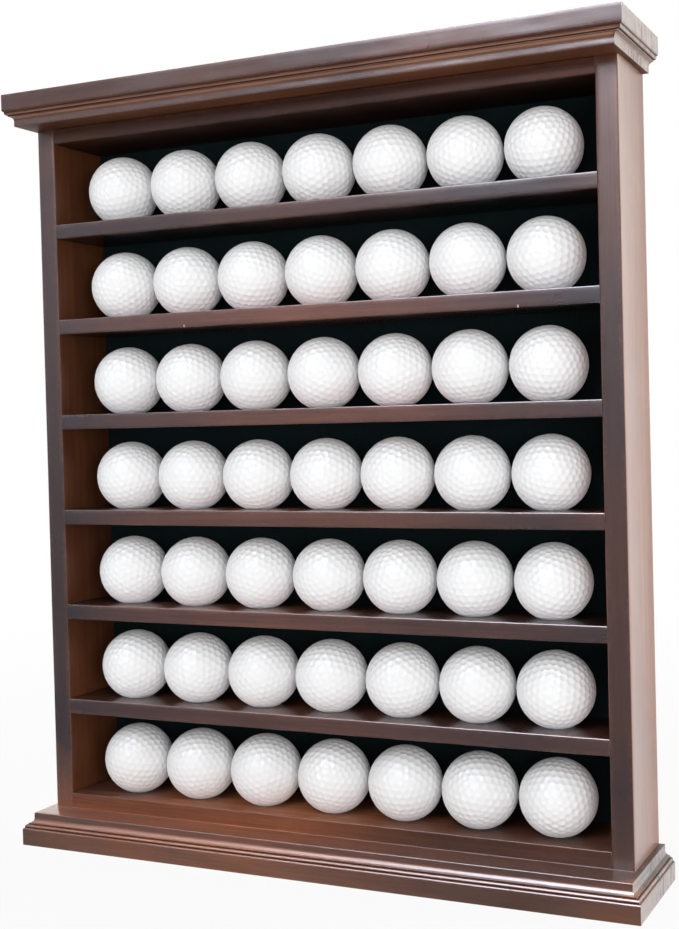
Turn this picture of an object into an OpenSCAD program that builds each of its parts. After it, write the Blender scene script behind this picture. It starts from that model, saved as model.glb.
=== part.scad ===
// Open-front display case for 49 golf balls, seven tiers of seven.
// A housed and rebated carcass stands between two moulded boards.
// Millimetres, +Z up, front towards -Y. The origin is the middle of the base board's underside.

/* [Balls] */
// Diameter of a golf ball
ball_d = 42.67; // [41:0.01:43]
// Balls side by side in one tier
balls_per_tier = 7; // [3:1:9]
// Distance between the middles of neighbouring balls
ball_pitch = 45; // [44:0.5:60]
// Distance from a side panel's inner face to the middle of the first ball
end_space = 35; // [24:0.5:60]
// Distance from the carcass's front face back to the middle of a ball
ball_setback = 23; // [22:0.25:25]
// Depth to which a ball sinks into its seat in a shelf
ball_sink = 1.75; // [1:0.05:2.5]
// Clearance between a ball and its ball-shaped seat
seat_gap = 0.3; // [0.1:0.05:0.6]

/* [Carcass] */
// Clear height of one tier
tier_h = 49.5; // [46:0.5:80]
// Thickness of the shelves and of the top and bottom panels
shelf_t = 9; // [6:0.5:16]
// Depth of a shelf from its front edge to the felt
shelf_d = 49; // [48:0.5:80]
// Thickness of a side panel
side_t = 12; // [11:0.5:20]
// Depth of the housings that take the ends of the shelves
housing_d = 4; // [2:0.5:5]
// Rounding of the shelves' front arrises
shelf_ease_r = 1; // [0.4:0.1:2]
// Rounding of the side panels' front arrises
side_ease_r = 0.8; // [0.4:0.1:2]
// Gap above a shelf in its housing and at the ends of each piece between the side panels
joint_gap = 0.1; // [0.05:0.05:0.3]

/* [Back] */
// Thickness of the back panel
back_t = 3; // [2:0.5:6]
// Thickness of the felt in front of it
felt_t = 1; // [0.5:0.25:3]
// Width of the rebate in a side panel that takes the back panel
rebate_w = 6; // [4:0.5:7]

/* [Moulded boards] */
// Thickness of the cap board and of the base board
board_t = 19; // [18:0.5:30]
// Overhang of these boards past each side panel
side_overhang = 8.5; // [7:0.5:20]
// Overhang of these boards in front of the carcass
front_overhang = 23.5; // [10:0.5:40]
// Height of the plain fillet next to the carcass
fillet_h = 3.3; // [1:0.1:4]
// Radius of the cove
cove_r = 2.6; // [1.5:0.1:3]
// Height of the step between the cove and the bead
cove_step_h = 0.7; // [0.3:0.05:1]
// Width of the ledge in front of that step
ledge_w = 0.3; // [0.1:0.05:0.5]
// Radius of the bead
bead_r = 1.3; // [0.8:0.05:1.5]
// Height of the step between the bead and the fascia's arris
bead_step_h = 0.75; // [0.3:0.05:1]
// Radius of the fascia's arris next to the bead
arris_r = 1; // [0.5:0.1:1.2]
// Rounding of the boards' other long arrises
board_ease_r = 0.5; // [0.2:0.1:1]

/* [Fasteners] */
// Diameter of the dowels between the side panels and the cap board
dowel_d = 5; // [4:0.5:5.5]
// Length of such a dowel, half of it in each piece
dowel_l = 24; // [16:1:30]
// Distance of the dowels and base screws from the carcass's front and back faces
dowel_inset = 12; // [8:1:18]
// Shank diameter of a base screw
screw_d = 3.5; // [3:0.5:4]
// Length of a base screw inside a side panel
screw_bite = 13; // [10:1:25]
// Head diameter of a base screw
screw_head_d = 7; // [6:0.5:9]
// Shank diameter of a back panel nail
nail_d = 1.2; // [1:0.1:1.6]
// Length of such a nail
nail_l = 14; // [10:1:20]
// Head diameter of such a nail
nail_head_d = 2.6; // [2:0.1:3.2]
// Head thickness of such a nail
nail_head_t = 0.7; // [0.4:0.1:1]
// Gap round a pin, nail or screw in its hole
pin_gap = 0.05; // [0.02:0.01:0.1]

/* [Hangers] */
// Distance from an end of the cap board to the middle of its keyhole plate
hanger_inset = 65.5; // [55:0.5:75]
// Length of a keyhole plate
hanger_l = 44; // [40:1:60]
// Height of a keyhole plate
hanger_h = 16; // [15.5:0.5:17]
// Thickness of a keyhole plate
hanger_t = 1.5; // [1:0.25:2]
// Diameter of the keyhole's round part
keyhole_d = 8; // [7:0.5:8.5]
// Width of the keyhole's slot
keyslot_w = 4; // [3.5:0.25:4.5]
// Rise from the middle of the round part to the middle of the slot's end
keyslot_rise = 6; // [5:0.5:7]
// Depth of the pocket for the wall screw's head in front of the plate
head_pocket_d = 6; // [4:0.5:9]
// Width of that pocket beyond the keyhole's round part
head_pocket_play = 0.5; // [0.2:0.1:0.6]
// Distance between the two screws of a plate
hanger_screw_pitch = 32; // [28:1:34]
// Shank diameter of a hanger screw
hanger_screw_d = 2.5; // [2:0.1:3]
// Head diameter of a hanger screw
hanger_head_d = 5; // [4:0.5:6]
// Length of a hanger screw
hanger_screw_l = 14; // [10:1:18]
// Gap round a keyhole plate in its pocket
hanger_gap = 0.15; // [0.05:0.05:0.4]

/* [Hidden] */

// Finishes as the photograph shows them
wood_colour = [0.33, 0.2, 0.17];
hidden_wood_colour = [0.62, 0.45, 0.28];
felt_colour = [0.03, 0.05, 0.05];
steel_colour = [0.7, 0.7, 0.68];
ball_colour = [0.96, 0.96, 0.95];

// Overrun of a cutter past the face it opens
cut = 1;
// Smoothness of long curves and of small ones
$fn = 64;
ball_fn = 96;

// The tiers are numbered from the top, and shelf i is the floor of tier i
tiers = 7;
inner_w = (balls_per_tier - 1) * ball_pitch + 2 * end_space;
carcass_w = inner_w + 2 * side_t;
carcass_d = shelf_d + felt_t + back_t;
opening_h = tiers * tier_h + (tiers - 1) * shelf_t;
carcass_h = opening_h + 2 * shelf_t;
board_l = carcass_w + 2 * side_overhang;
board_d = carcass_d + front_overhang;
total_h = carcass_h + 2 * board_t;

back_y = board_d / 2;
fascia_y = -board_d / 2;
front_y = back_y - carcass_d;
ball_y = front_y + ball_setback;
carcass_z = board_t;
opening_z = carcass_z + shelf_t;
seat_r = ball_d / 2 + seat_gap;
screw_l = board_t + screw_bite;

// Heights of the moulding, counted from the face that meets the carcass
cove_end_h = fillet_h + cove_r;
bead_start_h = cove_end_h + cove_step_h;
bead_end_h = bead_start_h + bead_r;
arris_start_h = bead_end_h + bead_step_h;
arris_end_h = arris_start_h + arris_r;
// Depths of the moulding, counted inward from the fascia
bead_in = arris_r + bead_r;
cove_in = bead_in + ledge_w;
fillet_in = cove_in + cove_r;

// Middle of the solid wood left beside a housing, where dowels and screws run
pin_x = inner_w / 2 + (housing_d + side_t) / 2;
pin_ys = [front_y + dowel_inset, back_y - dowel_inset];
pin_points = [for (side = [-1, 1], y = pin_ys) [side * pin_x, y]];

// Nails run through the back panel into the side panels and the top and bottom panels
nail_x = inner_w / 2 + rebate_w / 2;
nailed_tiers = [1, 3, 5, 7];
edge_nails = 3;
side_nail_points = [for (side = [-1, 1], i = nailed_tiers) [side * nail_x, tier_floor_z(i) + tier_h / 2]];
edge_nail_points = [for (end = [0, 1], k = [0 : edge_nails - 1])
    [inner_w * ((k + 0.5) / edge_nails - 0.5), carcass_z + shelf_t / 2 + end * (carcass_h - shelf_t)]];
nail_points = concat(side_nail_points, edge_nail_points);

hanger_x = board_l / 2 - hanger_inset;
hanger_z = total_h - board_t / 2;
keyhole_drop = keyslot_rise / 2;

function tier_floor_z(i) = opening_z + (tiers - i) * (tier_h + shelf_t);
function ball_x(j) = (j - (balls_per_tier - 1) / 2) * ball_pitch;

// Region outside a convex rounded corner whose tip is at the origin and whose body fills +X +Y
module corner_air(r) {
    difference() {
        translate([-cut, -cut]) square(r + cut);
        translate([r, r]) circle(r);
    }
}

// Outline of a board seen from its end: depth along X from the front edge, thickness along Y
module eased_outline(depth, thickness, ease_r) {
    difference() {
        square([depth, thickness]);
        corner_air(ease_r);
        translate([0, thickness]) mirror([0, 1]) corner_air(ease_r);
    }
}

// Extrudes an outline drawn in Y and Z along X, centred on X = 0
module along_x(length) {
    rotate([90, 0, 90]) linear_extrude(length, center = true) children();
}

// Air that the router removes: X runs inward from the fascia, Y away from the carcass face
module moulding_air() {
    translate([-cut, -cut]) square([fillet_in + cut, fillet_h + cut]);
    translate([-cut, 0]) square([cove_in + cut, bead_start_h]);
    translate([cove_in, fillet_h]) circle(cove_r);
    difference() {
        translate([-cut, 0]) square([bead_in + cut, bead_end_h]);
        translate([bead_in, bead_end_h]) circle(bead_r);
    }
    translate([-cut, 0]) square([arris_r + cut, arris_start_h]);
    translate([0, arris_start_h]) corner_air(arris_r);
    translate([fillet_in, 0]) corner_air(board_ease_r);
    translate([0, board_t]) mirror([0, 1]) corner_air(board_ease_r);
}

// Board with the routed moulding on its front and both ends, lying with the carcass face up
module moulded_board() {
    difference() {
        translate([-board_l / 2, fascia_y, 0]) cube([board_l, board_d, board_t]);
        translate([0, fascia_y, board_t]) mirror([0, 0, 1]) along_x(board_l + 2 * cut) moulding_air();
        for (end = [0, 1]) mirror([end, 0, 0])
            translate([-board_l / 2, 0, board_t]) mirror([0, 0, 1])
                rotate([90, 0, 0]) linear_extrude(board_d + 2 * cut, center = true) moulding_air();
    }
}

// Height of a countersunk head of 90 degrees
function cone_h(shank_d, head_d) = (head_d - shank_d) / 2;

// Cone of such a head, its wide end at Z = 0
module screw_cone(shank_d, head_d) {
    cylinder(h = cone_h(shank_d, head_d), d1 = head_d, d2 = shank_d);
}

// Wood screw with a cross recess, its head's face at Z = 0 and its shank towards +Z
module wood_screw(shank_d, length, head_d) {
    head_h = cone_h(shank_d, head_d);
    tip_h = shank_d;
    tip_d = shank_d / 4;
    recess_l = head_d / 2;
    recess_w = head_d / 8;
    recess_h = head_h / 2;
    difference() {
        union() {
            screw_cone(shank_d, head_d);
            translate([0, 0, head_h]) cylinder(h = length - head_h - tip_h, d = shank_d);
            translate([0, 0, length - tip_h]) cylinder(h = tip_h, d1 = shank_d, d2 = tip_d);
        }
        for (turn = [0, 90]) rotate([0, 0, turn])
            translate([-recess_l / 2, -recess_w / 2, -cut]) cube([recess_l, recess_w, recess_h + cut]);
    }
}

// Hole for that screw: the head seats in it, and the shank has the pin gap all round
module screw_hole(shank_d, length, head_d) {
    translate([0, 0, -cut]) cylinder(h = cut, d = head_d);
    screw_cone(shank_d, head_d);
    cylinder(h = length + pin_gap, d = shank_d + 2 * pin_gap);
}

// Places its children at each dowel and base screw, at height z
module at_pins(z) {
    for (p = pin_points) translate([p[0], p[1], z]) children();
}

// Places its children at each back nail, with +Z running forward from the back face
module at_nails(points) {
    for (p = points) translate([p[0], back_y, p[1]]) rotate([90, 0, 0]) children();
}

module nail_hole() {
    translate([0, 0, -cut]) cylinder(h = cut + nail_head_t, d = nail_head_d + 2 * pin_gap);
    cylinder(h = nail_l + pin_gap, d = nail_d + 2 * pin_gap);
}

// Places its children on a keyhole plate's middle, with +Z running forward from the back face
module at_hanger(side) {
    translate([side * hanger_x, back_y, hanger_z]) rotate([90, 0, 0]) children();
}

// Plate outline with half-round ends
module hanger_outline(gap) {
    straight = hanger_l - hanger_h;
    square([straight, hanger_h + 2 * gap], center = true);
    for (end = [-1, 1]) translate([end * straight / 2, 0]) circle(d = hanger_h + 2 * gap);
}

// Keyhole outline: a round part below and a narrow slot above it
module keyhole_outline(round_d, slot_w) {
    circle(d = round_d);
    translate([-slot_w / 2, 0]) square([slot_w, keyslot_rise]);
    translate([0, keyslot_rise]) circle(d = slot_w);
}

// Everything that one hanger needs cut out of the cap board
module hanger_cuts() {
    head_w = keyhole_d + head_pocket_play;
    translate([0, 0, -cut]) linear_extrude(hanger_t + cut) hanger_outline(hanger_gap);
    translate([0, -keyhole_drop, 0]) linear_extrude(hanger_t + head_pocket_d) keyhole_outline(head_w, head_w);
    for (end = [-1, 1]) translate([end * hanger_screw_pitch / 2, 0, 0])
        screw_hole(hanger_screw_d, hanger_screw_l, hanger_head_d);
}

// Spheres of radius r at the balls' places in the tier whose floor is at z
module ball_row(z, r) {
    for (j = [0 : balls_per_tier - 1])
        translate([ball_x(j), ball_y, z - ball_sink + ball_d / 2]) sphere(r, $fn = ball_fn);
}

module cap_board() {
    color(wood_colour) difference() {
        translate([0, 0, total_h]) mirror([0, 0, 1]) moulded_board();
        at_pins(total_h - board_t - cut) cylinder(h = dowel_l / 2 + pin_gap + cut, d = dowel_d + 2 * pin_gap);
        for (side = [-1, 1]) at_hanger(side) hanger_cuts();
    }
}

module base_board() {
    color(wood_colour) difference() {
        moulded_board();
        at_pins(0) screw_hole(screw_d, screw_l, screw_head_d);
    }
}

// Side panel on the right: housings for the shelves, end rebates for the panels, a rear rebate
module side_panel() {
    inner_x = inner_w / 2;
    difference() {
        translate([inner_x, front_y, carcass_z]) linear_extrude(carcass_h) difference() {
            square([side_t, carcass_d]);
            corner_air(side_ease_r);
            translate([side_t, 0]) mirror([1, 0]) corner_air(side_ease_r);
            translate([-cut, carcass_d - back_t]) square([rebate_w + cut, back_t + cut]);
        }
        for (i = [1 : tiers - 1])
            translate([inner_x - cut, front_y - cut, tier_floor_z(i) - shelf_t])
                cube([housing_d + cut, carcass_d + 2 * cut, shelf_t + joint_gap]);
        for (z = [carcass_z - cut, carcass_z + carcass_h - shelf_t - joint_gap])
            translate([inner_x - cut, front_y - cut, z])
                cube([housing_d + cut, carcass_d + 2 * cut, shelf_t + joint_gap + cut]);
        at_pins(carcass_z + carcass_h - dowel_l / 2)
            cylinder(h = dowel_l / 2 + cut, d = dowel_d + 2 * pin_gap);
        at_pins(0) screw_hole(screw_d, screw_l, screw_head_d);
        at_nails(side_nail_points) nail_hole();
    }
}

module side_panel_left() {
    color(wood_colour) mirror([1, 0, 0]) side_panel();
}

module side_panel_right() {
    color(wood_colour) side_panel();
}

// Board across the carcass with its ends in the side panels, underside at z
module cross_board(depth, z) {
    translate([0, front_y, z])
        along_x(inner_w + 2 * (housing_d - joint_gap)) eased_outline(depth, shelf_t, shelf_ease_r);
}

module top_panel() {
    color(wood_colour) difference() {
        cross_board(shelf_d + felt_t, carcass_z + carcass_h - shelf_t);
        at_nails(edge_nail_points) nail_hole();
    }
}

module bottom_panel() {
    color(wood_colour) difference() {
        cross_board(shelf_d + felt_t, carcass_z);
        ball_row(opening_z, seat_r);
        at_nails(edge_nail_points) nail_hole();
    }
}

module shelf(i) {
    color(wood_colour) difference() {
        cross_board(shelf_d, tier_floor_z(i) - shelf_t);
        ball_row(tier_floor_z(i), seat_r);
    }
}

module back_panel() {
    width = inner_w + 2 * (rebate_w - joint_gap);
    color(hidden_wood_colour) difference() {
        translate([-width / 2, back_y - back_t, carcass_z]) cube([width, back_t, carcass_h]);
        at_nails(nail_points) nail_hole();
    }
}

module felt_lining() {
    width = inner_w - 2 * joint_gap;
    color(felt_colour) translate([-width / 2, back_y - back_t - felt_t, opening_z])
        cube([width, felt_t, opening_h]);
}

module cap_dowels() {
    color(hidden_wood_colour) at_pins(carcass_z + carcass_h - dowel_l / 2)
        cylinder(h = dowel_l, d = dowel_d);
}

module base_screws() {
    color(steel_colour) at_pins(0) wood_screw(screw_d, screw_l, screw_head_d);
}

module back_nails() {
    color(steel_colour) at_nails(nail_points) {
        cylinder(h = nail_head_t, d = nail_head_d);
        cylinder(h = nail_l, d = nail_d);
    }
}

module hanger_plate(side) {
    color(steel_colour) at_hanger(side) difference() {
        linear_extrude(hanger_t) difference() {
            hanger_outline(0);
            translate([0, -keyhole_drop]) keyhole_outline(keyhole_d, keyslot_w);
        }
        for (end = [-1, 1]) translate([end * hanger_screw_pitch / 2, 0, 0])
            screw_hole(hanger_screw_d, hanger_screw_l, hanger_head_d);
    }
}

module hanger_screws() {
    color(steel_colour) for (side = [-1, 1]) at_hanger(side)
        for (end = [-1, 1]) translate([end * hanger_screw_pitch / 2, 0, 0])
            wood_screw(hanger_screw_d, hanger_screw_l, hanger_head_d);
}

module ball_tier(i) {
    color(ball_colour) ball_row(tier_floor_z(i), ball_d / 2);
}

cap_board();
base_board();
side_panel_left();
side_panel_right();
top_panel();
bottom_panel();
shelf(1);  // shelf_1
shelf(2);  // shelf_2
shelf(3);  // shelf_3
shelf(4);  // shelf_4
shelf(5);  // shelf_5
shelf(6);  // shelf_6
back_panel();
felt_lining();
cap_dowels();
base_screws();
back_nails();
hanger_plate(-1);  // hanger_plate_left
hanger_plate(1);  // hanger_plate_right
hanger_screws();
ball_tier(1);  // ball_tier_1
ball_tier(2);  // ball_tier_2
ball_tier(3);  // ball_tier_3
ball_tier(4);  // ball_tier_4
ball_tier(5);  // ball_tier_5
ball_tier(6);  // ball_tier_6
ball_tier(7);  // ball_tier_7
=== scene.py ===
"""Golf ball display case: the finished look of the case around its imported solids."""

import logging
import math
from dataclasses import dataclass, field
from enum import Enum
from itertools import combinations

import bmesh
import bpy
import numpy as np
from mathutils import Matrix, Vector
from mathutils.geometry import delaunay_2d_cdt


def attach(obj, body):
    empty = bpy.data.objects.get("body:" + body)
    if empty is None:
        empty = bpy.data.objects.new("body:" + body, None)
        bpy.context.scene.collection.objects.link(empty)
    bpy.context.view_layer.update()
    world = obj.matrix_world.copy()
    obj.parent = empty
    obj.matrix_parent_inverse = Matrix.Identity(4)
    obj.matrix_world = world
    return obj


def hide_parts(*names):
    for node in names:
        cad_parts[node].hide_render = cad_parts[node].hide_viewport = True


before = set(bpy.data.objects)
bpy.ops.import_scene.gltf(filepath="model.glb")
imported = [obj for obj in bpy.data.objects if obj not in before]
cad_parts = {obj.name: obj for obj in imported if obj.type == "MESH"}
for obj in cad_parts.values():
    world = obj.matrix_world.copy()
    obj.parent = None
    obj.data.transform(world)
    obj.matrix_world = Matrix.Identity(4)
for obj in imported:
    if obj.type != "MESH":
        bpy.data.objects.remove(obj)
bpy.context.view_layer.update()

LOG = logging.getLogger("display_case")

MM = 0.001
Object = bpy.types.Object
Socket = bpy.types.NodeSocket
Point2 = tuple[float, float]
Point3 = tuple[float, float, float]
Colour = Point3
Value = Socket | float | Colour
Section = list[Point3]
Face = tuple[int, ...]
Inputs = dict[str | int, Value]


class Grain(Enum):
    """The way the fibres of a board run."""

    ACROSS = "X"
    UPRIGHT = "Z"


class Slot(Enum):
    """The record's material slots."""

    WOOD = "stained_wood"
    PLYWOOD = "plywood"
    DOWEL = "dowel_wood"
    FELT = "felt"
    STEEL = "zinc_steel"
    BALL = "golf_ball"


class Leg(Enum):
    """The sides that a moulding runs along, in their order."""

    LEFT = 0
    FRONT = 1
    RIGHT = 2


# Shared sizes


@dataclass(frozen=True)
class CaseSizes:
    """The case's sizes in millimetres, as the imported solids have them."""

    ball_d: float = 42.67
    ball_pitch: float = 45.0
    end_space: float = 35.0
    ball_setback: float = 23.0
    ball_sink: float = 1.75
    seat_gap: float = 0.3
    per_tier: int = 7
    tiers: int = 7
    tier_h: float = 49.5
    shelf_t: float = 9.0
    shelf_d: float = 49.0
    side_t: float = 12.0
    housing_d: float = 4.0
    joint_gap: float = 0.1
    back_t: float = 3.0
    felt_t: float = 1.0
    rebate_w: float = 6.0
    board_t: float = 19.0
    side_overhang: float = 8.5
    front_overhang: float = 23.5

    @property
    def inner_w(self) -> float:
        """Clear width between the side panels."""
        return (self.per_tier - 1) * self.ball_pitch + 2 * self.end_space

    @property
    def carcass_d(self) -> float:
        """Depth of the carcass."""
        return self.shelf_d + self.felt_t + self.back_t

    @property
    def board_l(self) -> float:
        """Length of the cap and base boards."""
        return self.inner_w + 2 * (self.side_t + self.side_overhang)

    @property
    def board_d(self) -> float:
        """Depth of the cap and base boards."""
        return self.carcass_d + self.front_overhang

    @property
    def back_y(self) -> float:
        """The back face."""
        return self.board_d / 2

    @property
    def front_y(self) -> float:
        """The carcass's front face."""
        return self.back_y - self.carcass_d

    @property
    def opening_z(self) -> float:
        """The lowest floor."""
        return self.board_t + self.shelf_t

    @property
    def opening_h(self) -> float:
        """Height from the lowest floor to the ceiling of the top tier."""
        return self.tiers * self.tier_h + (self.tiers - 1) * self.shelf_t

    @property
    def carcass_top(self) -> float:
        """Top of the side panels."""
        return self.opening_z + self.opening_h + self.shelf_t

    def floor_z(self, tier: int) -> float:
        """Returns the height of a tier's floor; tier 1 is the top one."""
        return self.opening_z + (self.tiers - tier) * (self.tier_h + self.shelf_t)

    def ball_x(self, place: int) -> float:
        """Returns the middle of a ball, counted from 0 at the left."""
        return (place - (self.per_tier - 1) / 2) * self.ball_pitch


SIZES = CaseSizes()


# Node graphs


class NodeGraph:
    """Builds a node tree step by step."""

    def __init__(self, tree: bpy.types.NodeTree, coordinates: str) -> None:
        """Starts from an empty tree.

        Args:
            tree: the tree to fill.
            coordinates: the texture coordinate that places everything.
        """
        self.tree = tree
        self.tree.nodes.clear()
        self.place = self.node("TexCoord").outputs[coordinates]

    def fill(self, socket: Socket, value: Value) -> None:
        """Links a source to an input, or sets a constant on it.

        Args:
            socket: the input.
            value: an output, a number, a vector or a colour.
        """
        if isinstance(value, Socket):
            self.tree.links.new(value, socket)
        else:
            socket.default_value = (*value, 1.0) if socket.type == "RGBA" else value

    def node(self, kind: str, inputs: Inputs | None = None, **settings: str) -> bpy.types.Node:
        """Adds a node.

        Args:
            kind: the node's type, without the ShaderNode that every type begins with.
            inputs: what its inputs get, by their names or numbers.
            settings: the node's own settings.

        Returns:
            The new node.
        """
        node = self.tree.nodes.new(f"ShaderNode{kind}")
        for name, setting in settings.items():
            setattr(node, name, setting)
        for key, value in (inputs or {}).items():
            self.fill(node.inputs[key], value)
        return node

    def blend(self, share: Socket, a: Socket, b: Socket) -> Socket:
        """Returns two shaders mixed, with that share of b."""
        return self.node("MixShader", {0: share, 1: a, 2: b}).outputs["Shader"]

    def mapped(self, scale: Point3, shift: Point3 = (0, 0, 0)) -> Socket:
        """Returns the place in cycles per metre, after a shift in metres."""
        location = tuple(s * k for s, k in zip(shift, scale))
        inputs = {"Vector": self.place, "Scale": scale, "Location": location}
        return self.node("Mapping", inputs).outputs["Vector"]

    def even(self, cycles: float, shift: Point3 = (0, 0, 0)) -> Socket:
        """Returns the place with the same cycles per metre along each axis."""
        return self.mapped((cycles, cycles, cycles), shift)

    def noise(self, vector: Socket, detail: float = 3.0, rough: float = 0.5, warp: float = 0.0) -> Socket:
        """Returns a noise about 0.5, with one cycle to a unit of the vector."""
        inputs = {"Vector": vector, "Scale": 1.0, "Detail": detail, "Roughness": rough, "Distortion": warp}
        return self.node("TexNoise", inputs).outputs["Fac"]

    def ramp(self, value: Socket, stops: list[tuple[float, Colour]]) -> Socket:
        """Turns a value into a colour.

        Args:
            value: the driving socket.
            stops: positions and linear colours.

        Returns:
            The colour's socket.
        """
        node = self.node("ValToRGB", {"Fac": value})
        elements = node.color_ramp.elements
        while len(elements) < len(stops):
            elements.new(0.5)
        for element, (position, colour) in zip(elements, stops):
            element.position = position
            element.color = (*colour, 1.0)
        return node.outputs["Color"]

    def span(
        self, value: Socket, low: float, high: float, to_low: float = 0.0, to_high: float = 1.0
    ) -> Socket:
        """Returns the span from low to high laid on the one from to_low to to_high, and kept within it."""
        inputs = {"Value": value, "From Min": low, "From Max": high, "To Min": to_low, "To Max": to_high}
        return self.node("MapRange", inputs).outputs["Result"]

    def soft(self, value: Socket, low: float, high: float) -> Socket:
        """Returns a smooth step from 0 at low to 1 at high."""
        inputs = {"Value": value, "From Min": low, "From Max": high}
        return self.node("MapRange", inputs, interpolation_type="SMOOTHSTEP").outputs["Result"]

    def maths(self, operation: str, a: Socket, b: Socket | float) -> Socket:
        """Returns the result of one sum on two values."""
        return self.node("Math", {0: a, 1: b}, operation=operation).outputs["Value"]

    def times(self, product: Socket, *factors: Socket | float) -> Socket:
        """Multiplies values.

        Args:
            product: the first of them.
            factors: the others.

        Returns:
            The product's socket.
        """
        for factor in factors:
            product = self.maths("MULTIPLY", product, factor)
        return product

    def most(self, highest: Socket, *others: Socket) -> Socket:
        """Picks the highest of some values.

        Args:
            highest: the first of them.
            others: the others.

        Returns:
            The highest value's socket.
        """
        for other in others:
            highest = self.maths("MAXIMUM", highest, other)
        return highest

    def mix(self, share: Socket | float, a: Socket | Colour, b: Socket | Colour, kind: str = "MIX") -> Socket:
        """Returns two colours mixed in that way, with that share of b."""
        return self.node("Mix", {0: share, 6: a, 7: b}, data_type="RGBA", blend_type=kind).outputs[2]

    def parts(self, vector: Socket) -> dict[str, Socket]:
        """Returns a vector's X, Y and Z by name."""
        node = self.node("SeparateXYZ", {"Vector": vector})
        return {axis: node.outputs[axis] for axis in "XYZ"}

    def scaled(self, colour: Socket, factor: float) -> Socket:
        """Returns a colour times a factor."""
        return self.node("VectorMath", {0: colour, "Scale": factor}, operation="SCALE").outputs["Vector"]

    def mask(self, name: str) -> Socket:
        """Returns a mesh attribute as a value, such as the wear painted on arrises."""
        return self.node("Attribute", attribute_name=name).outputs["Fac"]

    def bump(self, height: Socket, deep_mm: float, strength: float, under: Socket | None = None) -> Socket:
        """Turns a height into a normal.

        Args:
            height: the height socket, 0 to 1.
            deep_mm: the height of 1, in millimetres.
            strength: how much of it shows.
            under: a normal to build on.

        Returns:
            The normal's socket.
        """
        inputs = {"Distance": deep_mm * MM, "Strength": strength, "Height": height}
        if under is not None:
            inputs["Normal"] = under
        return self.node("Bump", inputs).outputs["Normal"]


class MaterialGraph(NodeGraph):
    """A material's tree round one Principled shader."""

    def __init__(self, name: str) -> None:
        """Starts an empty material.

        Args:
            name: the material's name.
        """
        self.material = bpy.data.materials.new(name)
        self.material.use_nodes = True
        super().__init__(self.material.node_tree, "Object")
        self.shader = self.node("BsdfPrincipled")
        self.output = self.node("OutputMaterial", {"Surface": self.shader.outputs["BSDF"]})

    def set(self, **values: Value) -> None:
        """Fills the shader's own inputs, each with a constant or a source.

        Args:
            values: what each input gets, by its name in lower case with underscores for spaces.
        """
        for name, value in values.items():
            self.fill(self.shader.inputs[name.replace("_", " ").title().replace("Ior", "IOR")], value)


# Finishes


@dataclass(frozen=True)
class ToneAndShade:
    """How deep the colour shows at a place along the fibres, in metres: the stain's toner together with
    painted shade and painted light matched along each board.
    """

    place: float
    depth: float


def toned_and_shaded(*pairs: Point2) -> tuple[ToneAndShade, ...]:
    """Returns toner and painted-shade stops from pairs of a place in millimetres and a depth."""
    return tuple(ToneAndShade(place * MM, depth) for place, depth in pairs)


@dataclass(frozen=True)
class WoodLayers:
    """Noises and masks that a wood's colour, gloss and relief share."""

    streak: Socket
    fibre: Socket
    cloud: Socket
    pore: Socket
    ends: Socket
    soak: Socket


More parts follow.
